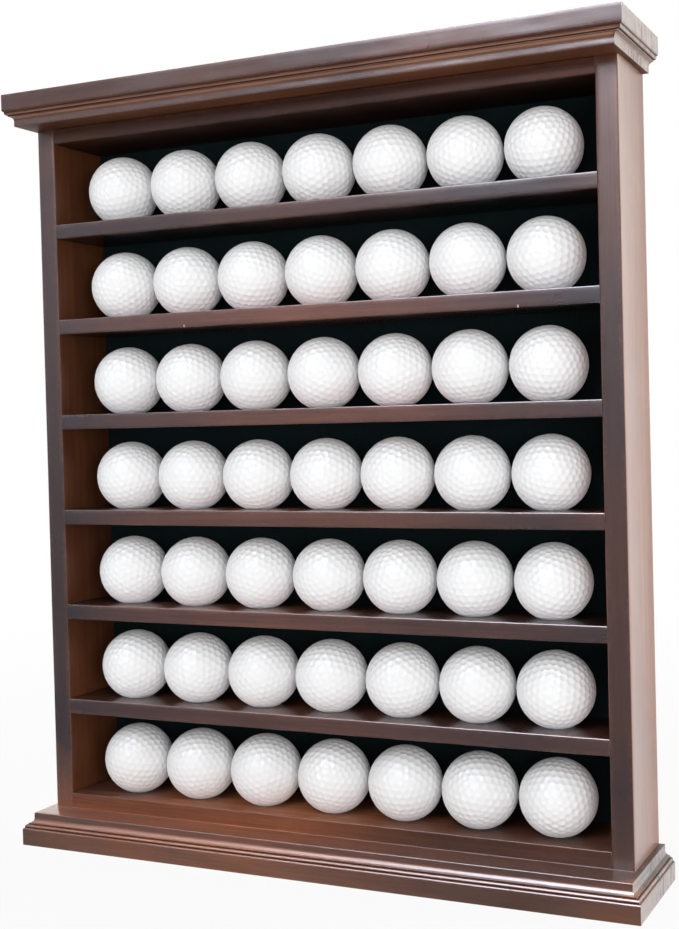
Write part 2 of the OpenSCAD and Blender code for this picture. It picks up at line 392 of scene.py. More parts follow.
@dataclass(frozen=True)
class StainedWood:
    """Close-grained hardwood under a toned brown stain and a satin lacquer, whose toner along each board also
    carries painted shade and painted light.

    gloss is the lacquer's weight at the front. It keeps that weight to the back, unless gloss_back is given.
    outward is the side, -1 or 1, that a side panel's pale outer face looks to, and 0 for any other board.
    """

    name: str
    grain: Grain
    seed: float
    # These depths along the board hold the toner and also painted shade and painted light.
    tones_and_shade: tuple[ToneAndShade, ...]
    front_tones_and_shade: tuple[ToneAndShade, ...] = ()
    gloss: float = 1.0
    gloss_back: float = 0.0
    figure: float = 1.0
    outward: int = 0
    dark: Colour = (0.041, 0.0141, 0.0086)
    mid: Colour = (0.085, 0.0289, 0.0151)
    light: Colour = (0.140, 0.0501, 0.0245)
    rubbed: Colour = (0.21, 0.105, 0.068)
    raw: Colour = (0.62, 0.48, 0.36)
    soaked: Colour = (0.022, 0.010, 0.0075)
    thinned: Colour = (0.36, 0.175, 0.105)
    quirk: Colour = (0.044, 0.0130, 0.0046)
    ring_gap_mm: float = 6.4
    lacquer_rough: float = 0.24

    def stretched(self, g: MaterialGraph, across: float, along: float, shift: float) -> Socket:
        """Draws the place out along the fibres.

        Args:
            g: the material being built.
            across: cycles per metre across the fibres.
            along: cycles per metre along them.
            shift: an offset that keeps layers apart.

        Returns:
            The vector's socket.
        """
        scale = (along, across, across) if self.grain is Grain.ACROSS else (across, across, along)
        base = self.seed + shift
        return g.mapped(scale, (base * 0.37, base * 0.11, base * 0.23))

    def faces(self, g: MaterialGraph, axis: str, low: float, high: float) -> Socket:
        """Returns 1 on faces square to an axis, and 0 where its share of the normal is under low."""
        normal = g.parts(g.node("TexCoord").outputs["Normal"])
        return g.span(g.maths("ABSOLUTE", normal[axis], 0.0), low, high)

    def backward(self, g: MaterialGraph, front: float, back: float) -> Socket:
        """Returns a value that goes from one number at the carcass's front to another at its back."""
        return g.span(g.parts(g.place)["Y"], SIZES.front_y * MM, SIZES.back_y * MM, front, back)

    def toner_and_shade(self, g: MaterialGraph, cloud: Socket, tones_and_shade: tuple[ToneAndShade, ...]) -> Socket:
        """Builds the toner along the board, with painted shade and painted light laid into the same depths.

        Args:
            g: the material being built.
            cloud: a soft noise that makes the toner wander.
            tones_and_shade: the depths, in order of place.

        Returns:
            The shade's colour socket, a factor on the wood's own colour.
        """
        # This ramp darkens and lightens the wood for painted shade and painted light as well as for the
        # toner.
        wander = g.times(g.maths("SUBTRACT", cloud, 0.5), 0.05)
        place = g.maths("ADD", g.parts(g.place)[self.grain.value], wander)
        low, high = tones_and_shade[0].place, tones_and_shade[-1].place
        deepest = max(tone.depth for tone in tones_and_shade)
        stops = []
        for tone in tones_and_shade:
            share = tone.depth / deepest
            stops.append(((tone.place - low) / (high - low), (share, share**0.96, share**0.86)))
        return g.scaled(g.ramp(g.span(place, low, high), stops), deepest)

    def layers(self, g: MaterialGraph) -> WoodLayers:
        """Builds the shared noises and masks.

        Args:
            g: the material being built.

        Returns:
            The streaks, fibres, clouds, pores, end grain and what the end grain has soaked up.
        """
        streak = g.noise(self.stretched(g, 150, 6, 0.3), 4.0, 0.62, 0.4)
        fibre = g.noise(self.stretched(g, 900, 24, 1.7), 3.0, 0.6)
        cloud = g.noise(self.stretched(g, 26, 9, 3.1), 3.0, 0.55, 0.3)
        pore = g.span(g.noise(self.stretched(g, 3400, 210, 5.3), 1.0, 0.5), 0.60, 0.72)
        ends = self.faces(g, self.grain.value, 0.62, 0.8)
        thirst = g.noise(g.mapped((60, 330, 70), (self.seed, 0.2, 0.1)), 4.0, 0.65, 0.5)
        vessel = g.noise(g.mapped((100, 1500, 420), (self.seed, 0.6, 0.3)), 2.0, 0.6)
        drawn = g.most(g.span(thirst, 0.47, 0.62), g.span(vessel, 0.56, 0.68))
        toward_back = g.span(g.parts(g.place)["Y"], -0.03, 0.01, 0.15, 1.0)
        return WoodLayers(streak, fibre, cloud, pore, ends, g.times(drawn, ends, toward_back))

    def figured(self, g: MaterialGraph, layers: WoodLayers) -> Socket:
        """Builds the grain under its stain, paler where the stain ran thin.

        Args:
            g: the material being built.
            layers: the shared noises.

        Returns:
            The colour's socket.
        """
        pith = (0.0, 0.30 + self.seed * 0.013, 0.05)
        if self.grain is Grain.UPRIGHT:
            pith = (0.22, 0.26 + self.seed * 0.017, 0.0)
        # A wave texture turns through 20 radians in each unit of its scale.
        wave = {
            "Vector": g.mapped((1, 1, 1), pith),
            "Scale": 2 * math.pi / 20 / (self.ring_gap_mm * MM),
            "Distortion": 2.2,
            "Detail": 2.0,
            "Detail Scale": 0.35,
        }
        settings = {"wave_type": "RINGS", "rings_direction": self.grain.value, "wave_profile": "SAW"}
        rings = g.node("TexWave", wave, **settings)
        tone = g.maths("ADD", g.times(layers.streak, 0.5), g.times(layers.cloud, 0.5))
        reach = 0.16 / self.figure
        colour = g.ramp(tone, [(0.5 - reach, self.dark), (0.5, self.mid), (0.5 + reach, self.light)])
        colour = g.mix(g.span(rings.outputs["Fac"], 0.5, 1.0, 0.0, 0.5 * self.figure**2), colour, self.dark)
        colour = g.mix(g.span(layers.fibre, 0.36, 0.62, 0.0, 0.3), colour, self.light)
        colour = g.mix(g.times(layers.pore, 0.55), colour, self.dark)
        thin = g.times(g.mask("thin"), g.span(layers.streak, 0.35, 0.65, 0.65, 1.0))
        return g.mix(thin, colour, self.thinned)

    def marked(self, g: MaterialGraph, layers: WoodLayers, colour: Socket) -> Socket:
        """Adds the toner with its painted shade and painted light, then rubbed arrises, soaked end grain,
        dark quirks and chips.

        Args:
            g: the material being built.
            layers: the shared noises and masks.
            colour: the stained grain.

        Returns:
            The finished colour's socket.
        """
        shade = self.toner_and_shade(g, layers.cloud, self.tones_and_shade)
        if self.front_tones_and_shade:
            front = self.toner_and_shade(g, layers.cloud, self.front_tones_and_shade)
            shade = g.mix(self.faces(g, "Y", 0.75, 0.9), shade, front)
        colour = g.mix(1.0, colour, shade, "MULTIPLY")
        patchy = g.span(g.noise(g.even(420, (self.seed, 0, 0)), 3.0, 0.6), 0.4, 0.62, 0.2, 1.0)
        colour = g.mix(g.times(g.mask("wear"), patchy, 0.3), colour, self.rubbed)
        colour = g.mix(g.times(layers.soak, 0.7), colour, self.soaked)
        colour = g.mix(g.times(g.mask("pooled"), 0.75), colour, self.quirk)
        return g.mix(g.span(g.mask("chip"), 0.35, 0.6), colour, self.raw)

    def lacquer(self, g: MaterialGraph, layers: WoodLayers) -> None:
        """Lays the lacquer, dull where the wood drank it and where hands rub it.

        Args:
            g: the material being built.
            layers: the shared masks.
        """
        smudge = g.noise(g.even(14, (0.4, self.seed, 0.9)), 3.0, 0.5, 0.6)
        handled = g.times(g.mask("handled"), g.span(smudge, 0.3, 0.65, 0.0, 0.35))
        thin = g.times(g.mask("thin"), 0.6)
        dull = g.most(g.times(layers.soak, 0.5), g.mask("pooled"), handled, g.mask("dry"), thin)
        if self.gloss_back:
            weight = self.backward(g, self.gloss, self.gloss_back)
        else:
            weight = g.span(layers.ends, 0.0, 1.0, self.gloss, 1.0)
        g.set(
            roughness=g.span(smudge, 0.32, 0.68, 0.46, 0.62),
            ior=1.45,
            coat_weight=g.times(g.span(dull, 0.0, 1.0, 1.0, 0.0), weight),
            coat_roughness=self.lacquer_rough,
            coat_ior=1.5,
        )

    def bloom(self, g: MaterialGraph, layers: WoodLayers) -> None:
        """Turns end grain, or a side panel's outer face, pale with bloom.

        Args:
            g: the material being built.
            layers: the shared masks.
        """
        if self.outward:
            normal = g.parts(g.node("TexCoord").outputs["Normal"])
            outer = g.span(g.times(normal["X"], float(self.outward)), 0.62, 0.8)
            pale = g.times(outer, self.backward(g, 1.0, 0.08))
            sheen = g.times(pale, 0.5)
        else:
            pale = g.times(layers.ends, g.span(layers.soak, 0.0, 1.0, 1.0, 0.3))
            sheen = pale
        g.set(specular_ior_level=g.span(pale, 0.0, 1.0, 0.1, 1.0), sheen_weight=sheen, sheen_roughness=0.35)

    def make(self) -> bpy.types.Material:
        """Builds the material.

        Returns:
            The finished material.
        """
        g = MaterialGraph(self.name)
        layers = self.layers(g)
        g.set(base_color=self.marked(g, layers, self.figured(g, layers)))
        self.lacquer(g, layers)
        self.bloom(g, layers)
        ripple = g.bump(g.noise(g.even(95, (self.seed, 0.2, 0.5)), 2.0, 0.5), 0.22, 0.35)
        grainy = g.maths("ADD", g.times(layers.fibre, 0.6), g.times(layers.pore, -0.5))
        g.set(normal=g.bump(grainy, 0.09, 0.5, ripple), coat_normal=g.bump(grainy, 0.04, 0.35, ripple))
        return g.material


# Colours of the boards whose stain is warmer.
WARM = {"mid": (0.085, 0.0285, 0.0118), "light": (0.140, 0.0493, 0.0186)}


@dataclass(frozen=True)
class GolfCover:
    """Glossy white cover of a golf ball, with faint scuffs in its lacquer."""

    name: str = "golf_cover"
    white: Colour = (0.92, 0.925, 0.93)
    scuffed: Colour = (0.72, 0.72, 0.71)

    def make(self) -> bpy.types.Material:
        """Builds the material.

        Returns:
            The finished material.
        """
        g = MaterialGraph(self.name)
        patch = g.noise(g.even(180), 4.0, 0.6)
        speck = g.noise(g.even(1900), 2.0, 0.6)
        scuff = g.times(g.span(patch, 0.55, 0.75), g.span(speck, 0.5, 0.7), 0.25)
        g.set(base_color=g.mix(scuff, self.white, self.scuffed))
        g.set(roughness=g.span(patch, 0.3, 0.7, 0.22, 0.38))
        g.set(coat_weight=0.06, coat_roughness=0.12, ior=1.45, specular_ior_level=0.06)
        g.set(sheen_weight=0.35, sheen_roughness=0.4, normal=g.bump(speck, 0.02, 0.3))
        return g.material


@dataclass(frozen=True)
class Felt:
    """Black felt with a teal cast and a short nap."""

    name: str = "black_felt"
    deep: Colour = (0.0033, 0.0062, 0.0066)
    nap: Colour = (0.0115, 0.022, 0.024)
    sheen: Colour = (0.35, 0.5, 0.55)

    def make(self) -> bpy.types.Material:
        """Builds the material.

        Returns:
            The finished material.
        """
        g = MaterialGraph(self.name)
        fleece = g.noise(g.even(900), 5.0, 0.7, 1.2)
        hair = g.noise(g.mapped((3200, 900, 1500), (0.3, 0.1, 0.7)), 3.0, 0.7, 2.0)
        both = g.maths("ADD", g.times(fleece, 0.6), g.times(hair, 0.4))
        colour = g.ramp(both, [(0.35, self.deep), (0.65, self.nap)])
        flat = g.span(g.noise(g.even(30), 3.0, 0.5), 0.35, 0.65, 0.0, 0.4)
        g.set(base_color=g.mix(flat, colour, self.deep), roughness=0.95, specular_ior_level=0.1)
        g.set(sheen_weight=0.12, sheen_roughness=0.5, sheen_tint=self.sheen, normal=g.bump(both, 0.5, 0.8))
        return g.material


@dataclass(frozen=True)
class Plywood:
    """Raw plywood back with a plain rotary-cut face."""

    name: str = "plywood_back"
    pale: Colour = (0.50, 0.34, 0.19)
    dark: Colour = (0.30, 0.18, 0.09)

    def make(self) -> bpy.types.Material:
        """Builds the material.

        Returns:
            The finished material.
        """
        g = MaterialGraph(self.name)
        wave = {"Scale": 9.0, "Distortion": 9.0, "Detail": 3.0, "Detail Scale": 1.4}
        wave["Vector"] = g.mapped((1, 1, 0.16))
        figure = g.node("TexWave", wave, wave_type="BANDS", bands_direction="X", wave_profile="SIN")
        fibre = g.noise(g.mapped((1100, 1100, 30)), 3.0, 0.6)
        plies = g.noise(g.mapped((3, 900, 3), (0.1, 0.0, 0.2)), 0.0, 0.5)
        colour = g.mix(g.span(figure.outputs["Fac"], 0.1, 1.0, 0.0, 0.55), self.pale, self.dark)
        colour = g.mix(g.span(fibre, 0.35, 0.65, 0.0, 0.3), colour, self.dark)
        colour = g.mix(g.span(plies, 0.4, 0.6, 0.0, 0.35), colour, self.dark)
        g.set(base_color=colour, roughness=g.span(fibre, 0.3, 0.7, 0.62, 0.78))
        g.set(specular_ior_level=0.3, normal=g.bump(fibre, 0.1, 0.6))
        return g.material


@dataclass(frozen=True)
class DowelWood:
    """Raw beech of the dowels."""

    name: str = "dowel_beech"
    dark: Colour = (0.42, 0.26, 0.14)
    pale: Colour = (0.62, 0.44, 0.27)

    def make(self) -> bpy.types.Material:
        """Builds the material.

        Returns:
            The finished material.
        """
        g = MaterialGraph(self.name)
        fleck = g.noise(g.mapped((1500, 1500, 160)), 3.0, 0.6)
        colour = g.ramp(fleck, [(0.35, self.dark), (0.65, self.pale)])
        g.set(base_color=colour, roughness=0.7, normal=g.bump(fleck, 0.08, 0.5))
        return g.material


@dataclass(frozen=True)
class ZincSteel:
    """Zinc-plated steel of plates, screws and nails, rolled and slightly dull."""

    name: str = "zinc_plated_steel"
    bright: Colour = (0.68, 0.69, 0.70)
    dull: Colour = (0.42, 0.43, 0.44)

    def make(self) -> bpy.types.Material:
        """Builds the material.

        Returns:
            The finished material.
        """
        g = MaterialGraph(self.name)
        rolled = g.noise(g.mapped((60, 900, 2600)), 3.0, 0.6)
        spangle = g.noise(g.even(320), 4.0, 0.6)
        colour = g.ramp(spangle, [(0.35, self.dull), (0.6, self.bright)])
        g.set(base_color=colour, metallic=1.0, roughness=g.span(spangle, 0.3, 0.7, 0.42, 0.28))
        g.set(normal=g.bump(rolled, 0.03, 0.4))
        return g.material


# Mesh tools


def arc(centre: Point2, radius: float, start: float, end: float, steps: int = 8) -> list[Point2]:
    """Returns points on an arc, ends included.

    Args:
        centre: the arc's centre.
        radius: its radius.
        start: the first angle in degrees.
        end: the last angle in degrees.
        steps: the number of chords.

    Returns:
        The points in order.
    """
    angles = np.radians(np.linspace(start, end, steps + 1))
    return [(centre[0] + radius * math.cos(a), centre[1] + radius * math.sin(a)) for a in angles]


def split(a: Point2, b: Point2, cells: int) -> list[Point2]:
    """Returns the points between a and b, both left out."""
    return [(a[0] + (b[0] - a[0]) * k / cells, a[1] + (b[1] - a[1]) * k / cells) for k in range(1, cells)]


def tagged(points: list[Point2], wear: float) -> Section:
    """Returns points of a section, each with the same wear."""
    return [(a, b, wear) for a, b in points]


def wobble(along: np.ndarray, seed: int, wave: float) -> np.ndarray:
    """Returns a smooth wandering value about 0, with a size of about 1.

    Args:
        along: distances in millimetres.
        seed: the wander's own number.
        wave: the longest wave in millimetres.

    Returns:
        One value for each distance.
    """
    rng = np.random.default_rng(seed)
    total = np.zeros_like(along, dtype=float)
    for octave in range(4):
        turn = 2 * math.pi * along / (wave / 2.1**octave)
        total += np.sin(turn + rng.uniform(0, 2 * math.pi)) * 0.7**octave
    return total / 2.0


def rubbed(wear: float, place: np.ndarray, seed: int, wave: float, usual: float = 0.5) -> float:
    """Lets the wear of an arris come and go along it.

    Args:
        wear: the arris's full wear.
        place: one distance in millimetres.
        seed: the wander's own number.
        wave: its longest wave in millimetres.
        usual: the share that usually shows.

    Returns:
        The wear at that place, from 0 to 1.
    """
    share = usual + (1 - usual) * float(wobble(place, seed, wave)[0])
    return wear * min(1.0, max(0.0, share))


def placed(name: str, data: bpy.types.ID) -> Object:
    """Puts a new object in the scene.

    Args:
        name: the object's name.
        data: its mesh, lamp or camera.

    Returns:
        The new object.
    """
    obj = bpy.data.objects.new(name, data)
    bpy.context.scene.collection.objects.link(obj)
    return obj


def mesh_object(
    name: str, points: np.ndarray, faces: list[Face], masks: dict[str, np.ndarray] | None = None
) -> Object:
    """Makes an object from points in millimetres.

    Args:
        name: the piece's name.
        points: rows of x, y, z in millimetres.
        faces: vertex numbers of each face.
        masks: point attributes by name.

    Returns:
        The new object, linked to the scene.
    """
    mesh = bpy.data.meshes.new(name)
    mesh.from_pydata((points * MM).tolist(), [], faces)
    for label, values in (masks or {}).items():
        mesh.attributes.new(label, "FLOAT", "POINT").data.foreach_set("value", values.astype(np.float32))
    mesh.validate()
    return placed(name, mesh)


def clean(obj: Object, sharp: float = 32.0) -> None:
    """Welds doubled points, turns the faces outward and shades the mesh.

    Args:
        obj: the object to clean.
        sharp: the angle in degrees over which edges stay sharp.
    """
    work = bmesh.new()
    work.from_mesh(obj.data)
    bmesh.ops.remove_doubles(work, verts=work.verts, dist=2e-6)
    bmesh.ops.dissolve_degenerate(work, edges=work.edges, dist=1e-6)
    bmesh.ops.recalc_face_normals(work, faces=work.faces)
    work.to_mesh(obj.data)
    work.free()
    shade(obj, sharp)


def shade(obj: Object, sharp: float = 32.0) -> None:
    """Shades a mesh smooth, with edges over that many degrees sharp."""
    obj.data.shade_smooth()
    obj.data.set_sharp_from_angle(angle=math.radians(sharp))


def strips(columns: int, rows: int, open_row: int = -1) -> list[Face]:
    """Joins the sections of a sweep to each other.

    Args:
        columns: the number of sections.
        rows: the number of points in each.
        open_row: the row that gets no face to the next one.

    Returns:
        One face for each cell. The last row's cells lead round to the first row.
    """
    faces: list[Face] = []
    for near in range(0, (columns - 1) * rows, rows):
        far = near + rows
        for row in range(rows):
            if row != open_row:
                ahead = (row + 1) % rows
                faces.append((near + row, near + ahead, far + ahead, far + row))
    return faces


def ends(columns: int, rows: int) -> list[Face]:
    """Returns the two faces that close a sweep."""
    last = (columns - 1) * rows
    return [tuple(range(rows)), tuple(range(last, last + rows))]


def span_of(mesh: bpy.types.Mesh) -> list[float]:
    """Returns the lowest and highest x, y and z of a mesh."""
    points = np.array([v.co[:] for v in mesh.vertices])
    return [*points.min(axis=0), *points.max(axis=0)]


def carve(obj: Object, cutters: list[Object]) -> None:
    """Cuts closed cutters out of a mesh and removes them.

    Args:
        obj: the mesh to cut.
        cutters: closed meshes.
    """
    for cutter in cutters:
        modifier = obj.modifiers.new("cut", "BOOLEAN")
        modifier.operation = "DIFFERENCE"
        modifier.solver = "EXACT"
        modifier.object = cutter
    bpy.context.view_layer.update()
    before = span_of(obj.data)
    cut = bpy.data.meshes.new_from_object(obj.evaluated_get(bpy.context.evaluated_depsgraph_get()))
    if any(abs(a - b) > 1e-6 for a, b in zip(span_of(cut), before)):
        raise ValueError(f"{obj.name}: the cutters were added to it, not cut out")
    obj.modifiers.clear()
    obj.data = cut
    cut.name = obj.name
    for cutter in cutters:
        bpy.data.objects.remove(cutter)
    shade(obj)


def prism(name: str, outline: list[Point2], low: float, high: float, to_world: Matrix) -> Object:
    """Makes a closed prism from an outline in its own XY plane.

    Args:
        name: the piece's name.
        outline: points in millimetres.
        low: the lower Z.
        high: the upper Z.
        to_world: where the prism's own frame lies, in millimetres.

    Returns:
        The new object.
    """
    n = len(outline)
    own = [Vector((x, y, z)) for z in (low, high) for x, y in outline]
    points = np.array([to_world @ p for p in own])
    faces: list[Face] = [tuple(range(n)), tuple(range(2 * n - 1, n - 1, -1))]
    faces += [(k, k + n, (k + 1) % n + n, (k + 1) % n) for k in range(n)]
    obj = mesh_object(name, points, faces)
    clean(obj)
    return obj


def cone_cutter(name: str, centre: Point3, axis: Vector, wide: float, narrow: float, length: float) -> Object:
    """Makes a cone in millimetres.

    Args:
        name: the piece's name.
        centre: the middle of its foot.
        axis: the way it runs.
        wide: the foot's radius.
        narrow: the top's radius.
        length: from foot to top.

    Returns:
        The new object.
    """
    work = bmesh.new()
    turn = axis.to_track_quat("Z", "Y").to_matrix().to_4x4()
    place = Matrix.Translation((Vector(centre) + axis * (length / 2)) * MM) @ turn
    radii = {"radius1": wide * MM, "radius2": narrow * MM}
    bmesh.ops.create_cone(work, cap_ends=True, segments=40, depth=length * MM, matrix=place, **radii)
    mesh = bpy.data.meshes.new(name)
    work.to_mesh(mesh)
    work.free()
    return placed(name, mesh)


def paint(obj: Object, material: bpy.types.Material) -> None:
    """Gives a piece its material.

    Args:
        obj: the piece.
        material: what covers it.
    """
    obj.data.materials.clear()
    obj.data.materials.append(material)


@dataclass(frozen=True)
class Nick:
    """A small knock on an arris.

    at is the distance along the board, size the knock's half width and deep its depth, all in millimetres. A
    knock that is under lies on the lower arris.
    """

    at: float
    size: float = 0.8
    deep: float = 0.35
    bare: bool = True
    under: bool = False


def refined(low: float, high: float, step: float, nicks: tuple[Nick, ...]) -> np.ndarray:
    """Returns positions along a board, closer together at its nicks.

    Args:
        low: the first position.
        high: the last position.
        step: the usual distance between positions.
        nicks: the knocks on this board.

    Returns:
        Sorted positions in millimetres.
    """
    places = set(np.linspace(low, high, max(2, round((high - low) / step) + 1)).round(3))
    for nick in nicks:
        for k in np.linspace(-1.5, 1.5, 13):
            place = round(nick.at + k * nick.size, 3)
            if low < place < high:
                places.add(place)
    return np.array(sorted(places))


def dent(places: np.ndarray, nicks: tuple[Nick, ...]) -> tuple[np.ndarray, np.ndarray]:
    """Returns how deep the nicks go at each place, and how bare they leave the wood.

    Args:
        places: positions along the board in millimetres.
        nicks: the knocks.

    Returns:
        Depths in millimetres, and bareness from 0 to 1.
    """
    deep, bare = np.zeros_like(places), np.zeros_like(places)
    for nick in nicks:
        bell = np.exp(-(((places - nick.at) / nick.size) ** 2) * 1.6)
        deep = np.maximum(deep, nick.deep * bell)
        if nick.bare:
            bare = np.maximum(bare, bell)
    return deep, bare


# Routed boards


@dataclass
class RoutedBoard:
    """Solid board with a fillet, cove, bead and fascia routed on its front and ends."""

    name: str
    face_z: float
    away: int
    seed: int
    nicks: tuple[Nick, ...] = ()
    thinned: float = 0.25
    fillet_h: float = 3.3
    cove_r: float = 2.6
    cove_step_h: float = 0.7
    ledge_w: float = 0.3
    bead_r: float = 1.3
    bead_step_h: float = 0.75
    arris_r: float = 1.0
    ease_r: float = 0.35
    step: float = 3.0

    @property
    def bead_in(self) -> float:
        """Inset of the bead's middle."""
        return self.arris_r + self.bead_r

    @property
    def cove_end(self) -> float:
        """Height at which the cove ends."""
        return self.fillet_h + self.cove_r

    @property
    def bead_start(self) -> float:
        """Height at which the bead begins."""
        return self.cove_end + self.cove_step_h

    @property
    def bead_end(self) -> float:
        """Height at which the bead ends."""
        return self.bead_start + self.bead_r

    def profile(self) -> Section:
        """Builds the moulding's section.

        Returns:
            Inset from the fascia, height from the carcass face, and wear, for each point.
        """
        t, e = SIZES.board_t, self.ease_r
        cove_in = self.bead_in + self.ledge_w
        fillet_in = cove_in + self.cove_r
        arris_end = self.bead_end + self.bead_step_h + self.arris_r
        rows = tagged(arc((fillet_in + e, e), e, -90, -180, 4), 0.7)
        rows += tagged(split((fillet_in, e), (fillet_in, self.fillet_h), 3), 0.1)
        rows += [(fillet_in, self.fillet_h, 0.75)]
        rows += tagged(arc((cove_in, self.fillet_h), self.cove_r, 6, 84, 9), 0.05)
        rows += [(cove_in, self.cove_end, 0.8), (cove_in, self.cove_end + self.cove_step_h / 2, 0.2)]
        rows += tagged([(cove_in, self.bead_start), (cove_in - self.ledge_w / 2, self.bead_start)], 0.0)
        rows += tagged(arc((self.bead_in, self.bead_end), self.bead_r, -90, -180, 8), 0.45)
        rows += [(self.arris_r, self.bead_end + self.bead_step_h / 2, 0.0)]
        rows += tagged(arc((self.arris_r, arris_end), self.arris_r, -90, -180, 6), 0.7)
        rows += tagged(split((0, arris_end), (0, t - e), 5), 0.1)
        rows += tagged(arc((e, t - e), e, 180, 90, 4), 0.6)
        return rows

    def pooled(self, inset: float, height: float) -> float:
        """Tells how much stain lies in the quirks.

        Args:
            inset: inset from the fascia.
            height: height from the carcass face.

        Returns:
            1 in a quirk and 0 elsewhere.
        """
        beside_cove = self.cove_end + 0.05 < height < self.bead_start + 0.25
        beside_bead = self.bead_end - 0.1 < height < self.bead_end + self.bead_step_h + 0.25
        first = beside_cove and inset > self.bead_in - 0.6
        second = beside_bead and inset > self.arris_r - 0.3
        return 1.0 if first or second else 0.0

    def thin(self, inset: float, height: float) -> float:
        """Tells how thin the stain lies in the cove and on the bead.

        Args:
            inset: inset from the fascia.
            height: height from the carcass face.

        Returns:
            The board's own thinness there, and 0 elsewhere.
        """
        in_cove = self.fillet_h + 0.2 < height < self.cove_end - 0.1
        on_bead = self.bead_start + 0.2 < height < self.bead_end and inset > self.arris_r
        return self.thinned if in_cove or on_bead else 0.0

    def columns(self) -> list[tuple[Leg, float]]:
        """Spaces the sweep's sections.

        Returns:
            The leg and the share of its length, for each section.
        """
        half = SIZES.board_l / 2
        side = np.linspace(0, 1, round(SIZES.board_d / self.step) + 1)
        front = refined(-half, half, self.step, self.nicks)
        columns = [(Leg.LEFT, float(t)) for t in side[:-1]]
        columns += [(Leg.FRONT, float((x + half) / (2 * half))) for x in front[:-1]]
        columns += [(Leg.RIGHT, float(t)) for t in side]
        return columns

    def corner(self, leg: Leg, share: float, inset: float, push: float) -> Point2:
        """Places a point of the section on its way round the board.

        Args:
            leg: the side it lies on.
            share: the share of that side's length.
            inset: inset from the fascia.
            push: how far the point lies deeper than its inset.

        Returns:
            Its x and y.
        """
        half, back = SIZES.board_l / 2, SIZES.back_y
        left, right, front = -half + inset, half - inset, -back + inset
        if leg is Leg.LEFT:
            return left + push, back + (front - back) * share
        if leg is Leg.FRONT:
            return left + (right - left) * share, front + push
        return right - push, front + (back - front) * share

    def build(self) -> Object:
        """Builds the board's mesh.

        Returns:
            The board, without its pockets.
        """
        section, columns = self.profile(), self.columns()
        dryness = 1.0 if self.away > 0 else 0.5
        points: Section = []
        masks: dict[str, list[float]] = {}
        for leg, share in columns:
            ahead = leg is Leg.FRONT
            length = SIZES.board_l if ahead else SIZES.board_d
            place = np.array([leg.value * 400.0 + share * length])
            deep, bare = dent(np.array([share * length - length / 2]), self.nicks if ahead else ())
            for row, (a, d, w) in enumerate(section):
                wave = float(wobble(place, self.seed * 31 + row // 3, 90.0)[0]) * 0.05
                knock = float(deep[0]) if w > 0.5 and a < 1.5 and d < 15 else 0.0
                push = wave + knock if 0.5 < d < SIZES.board_t - 0.5 else 0.0
                points.append((*self.corner(leg, share, a, push), self.face_z + self.away * d))
                marks = {
                    "wear": rubbed(w, place, self.seed * 7 + row // 4, 60.0, 0.55),
                    "chip": float(bare[0]) if knock > 0.12 else 0.0,
                    "pooled": self.pooled(a, d),
                    "handled": 1.0 if a < 0.3 else 0.0,
                    "thin": self.thin(a, d) * (1.0 if ahead else 0.3),
                    "dry": dryness if row == 0 else 0.0,
                }
                for name, value in marks.items():
                    masks.setdefault(name, []).append(value)
        rows, last = len(section), (len(columns) - 1) * len(section)
        faces = strips(len(columns), rows, open_row=rows - 1)
        faces += [tuple(range(0, last + rows, rows)), tuple(range(rows - 1, last + rows, rows))]
        faces.append((*range(rows), *range(last + rows - 1, last - 1, -1)))
        arrays = {name: np.array(values) for name, values in masks.items()}
        obj = mesh_object(self.name, np.array(points), faces, arrays)
        clean(obj)
        return obj


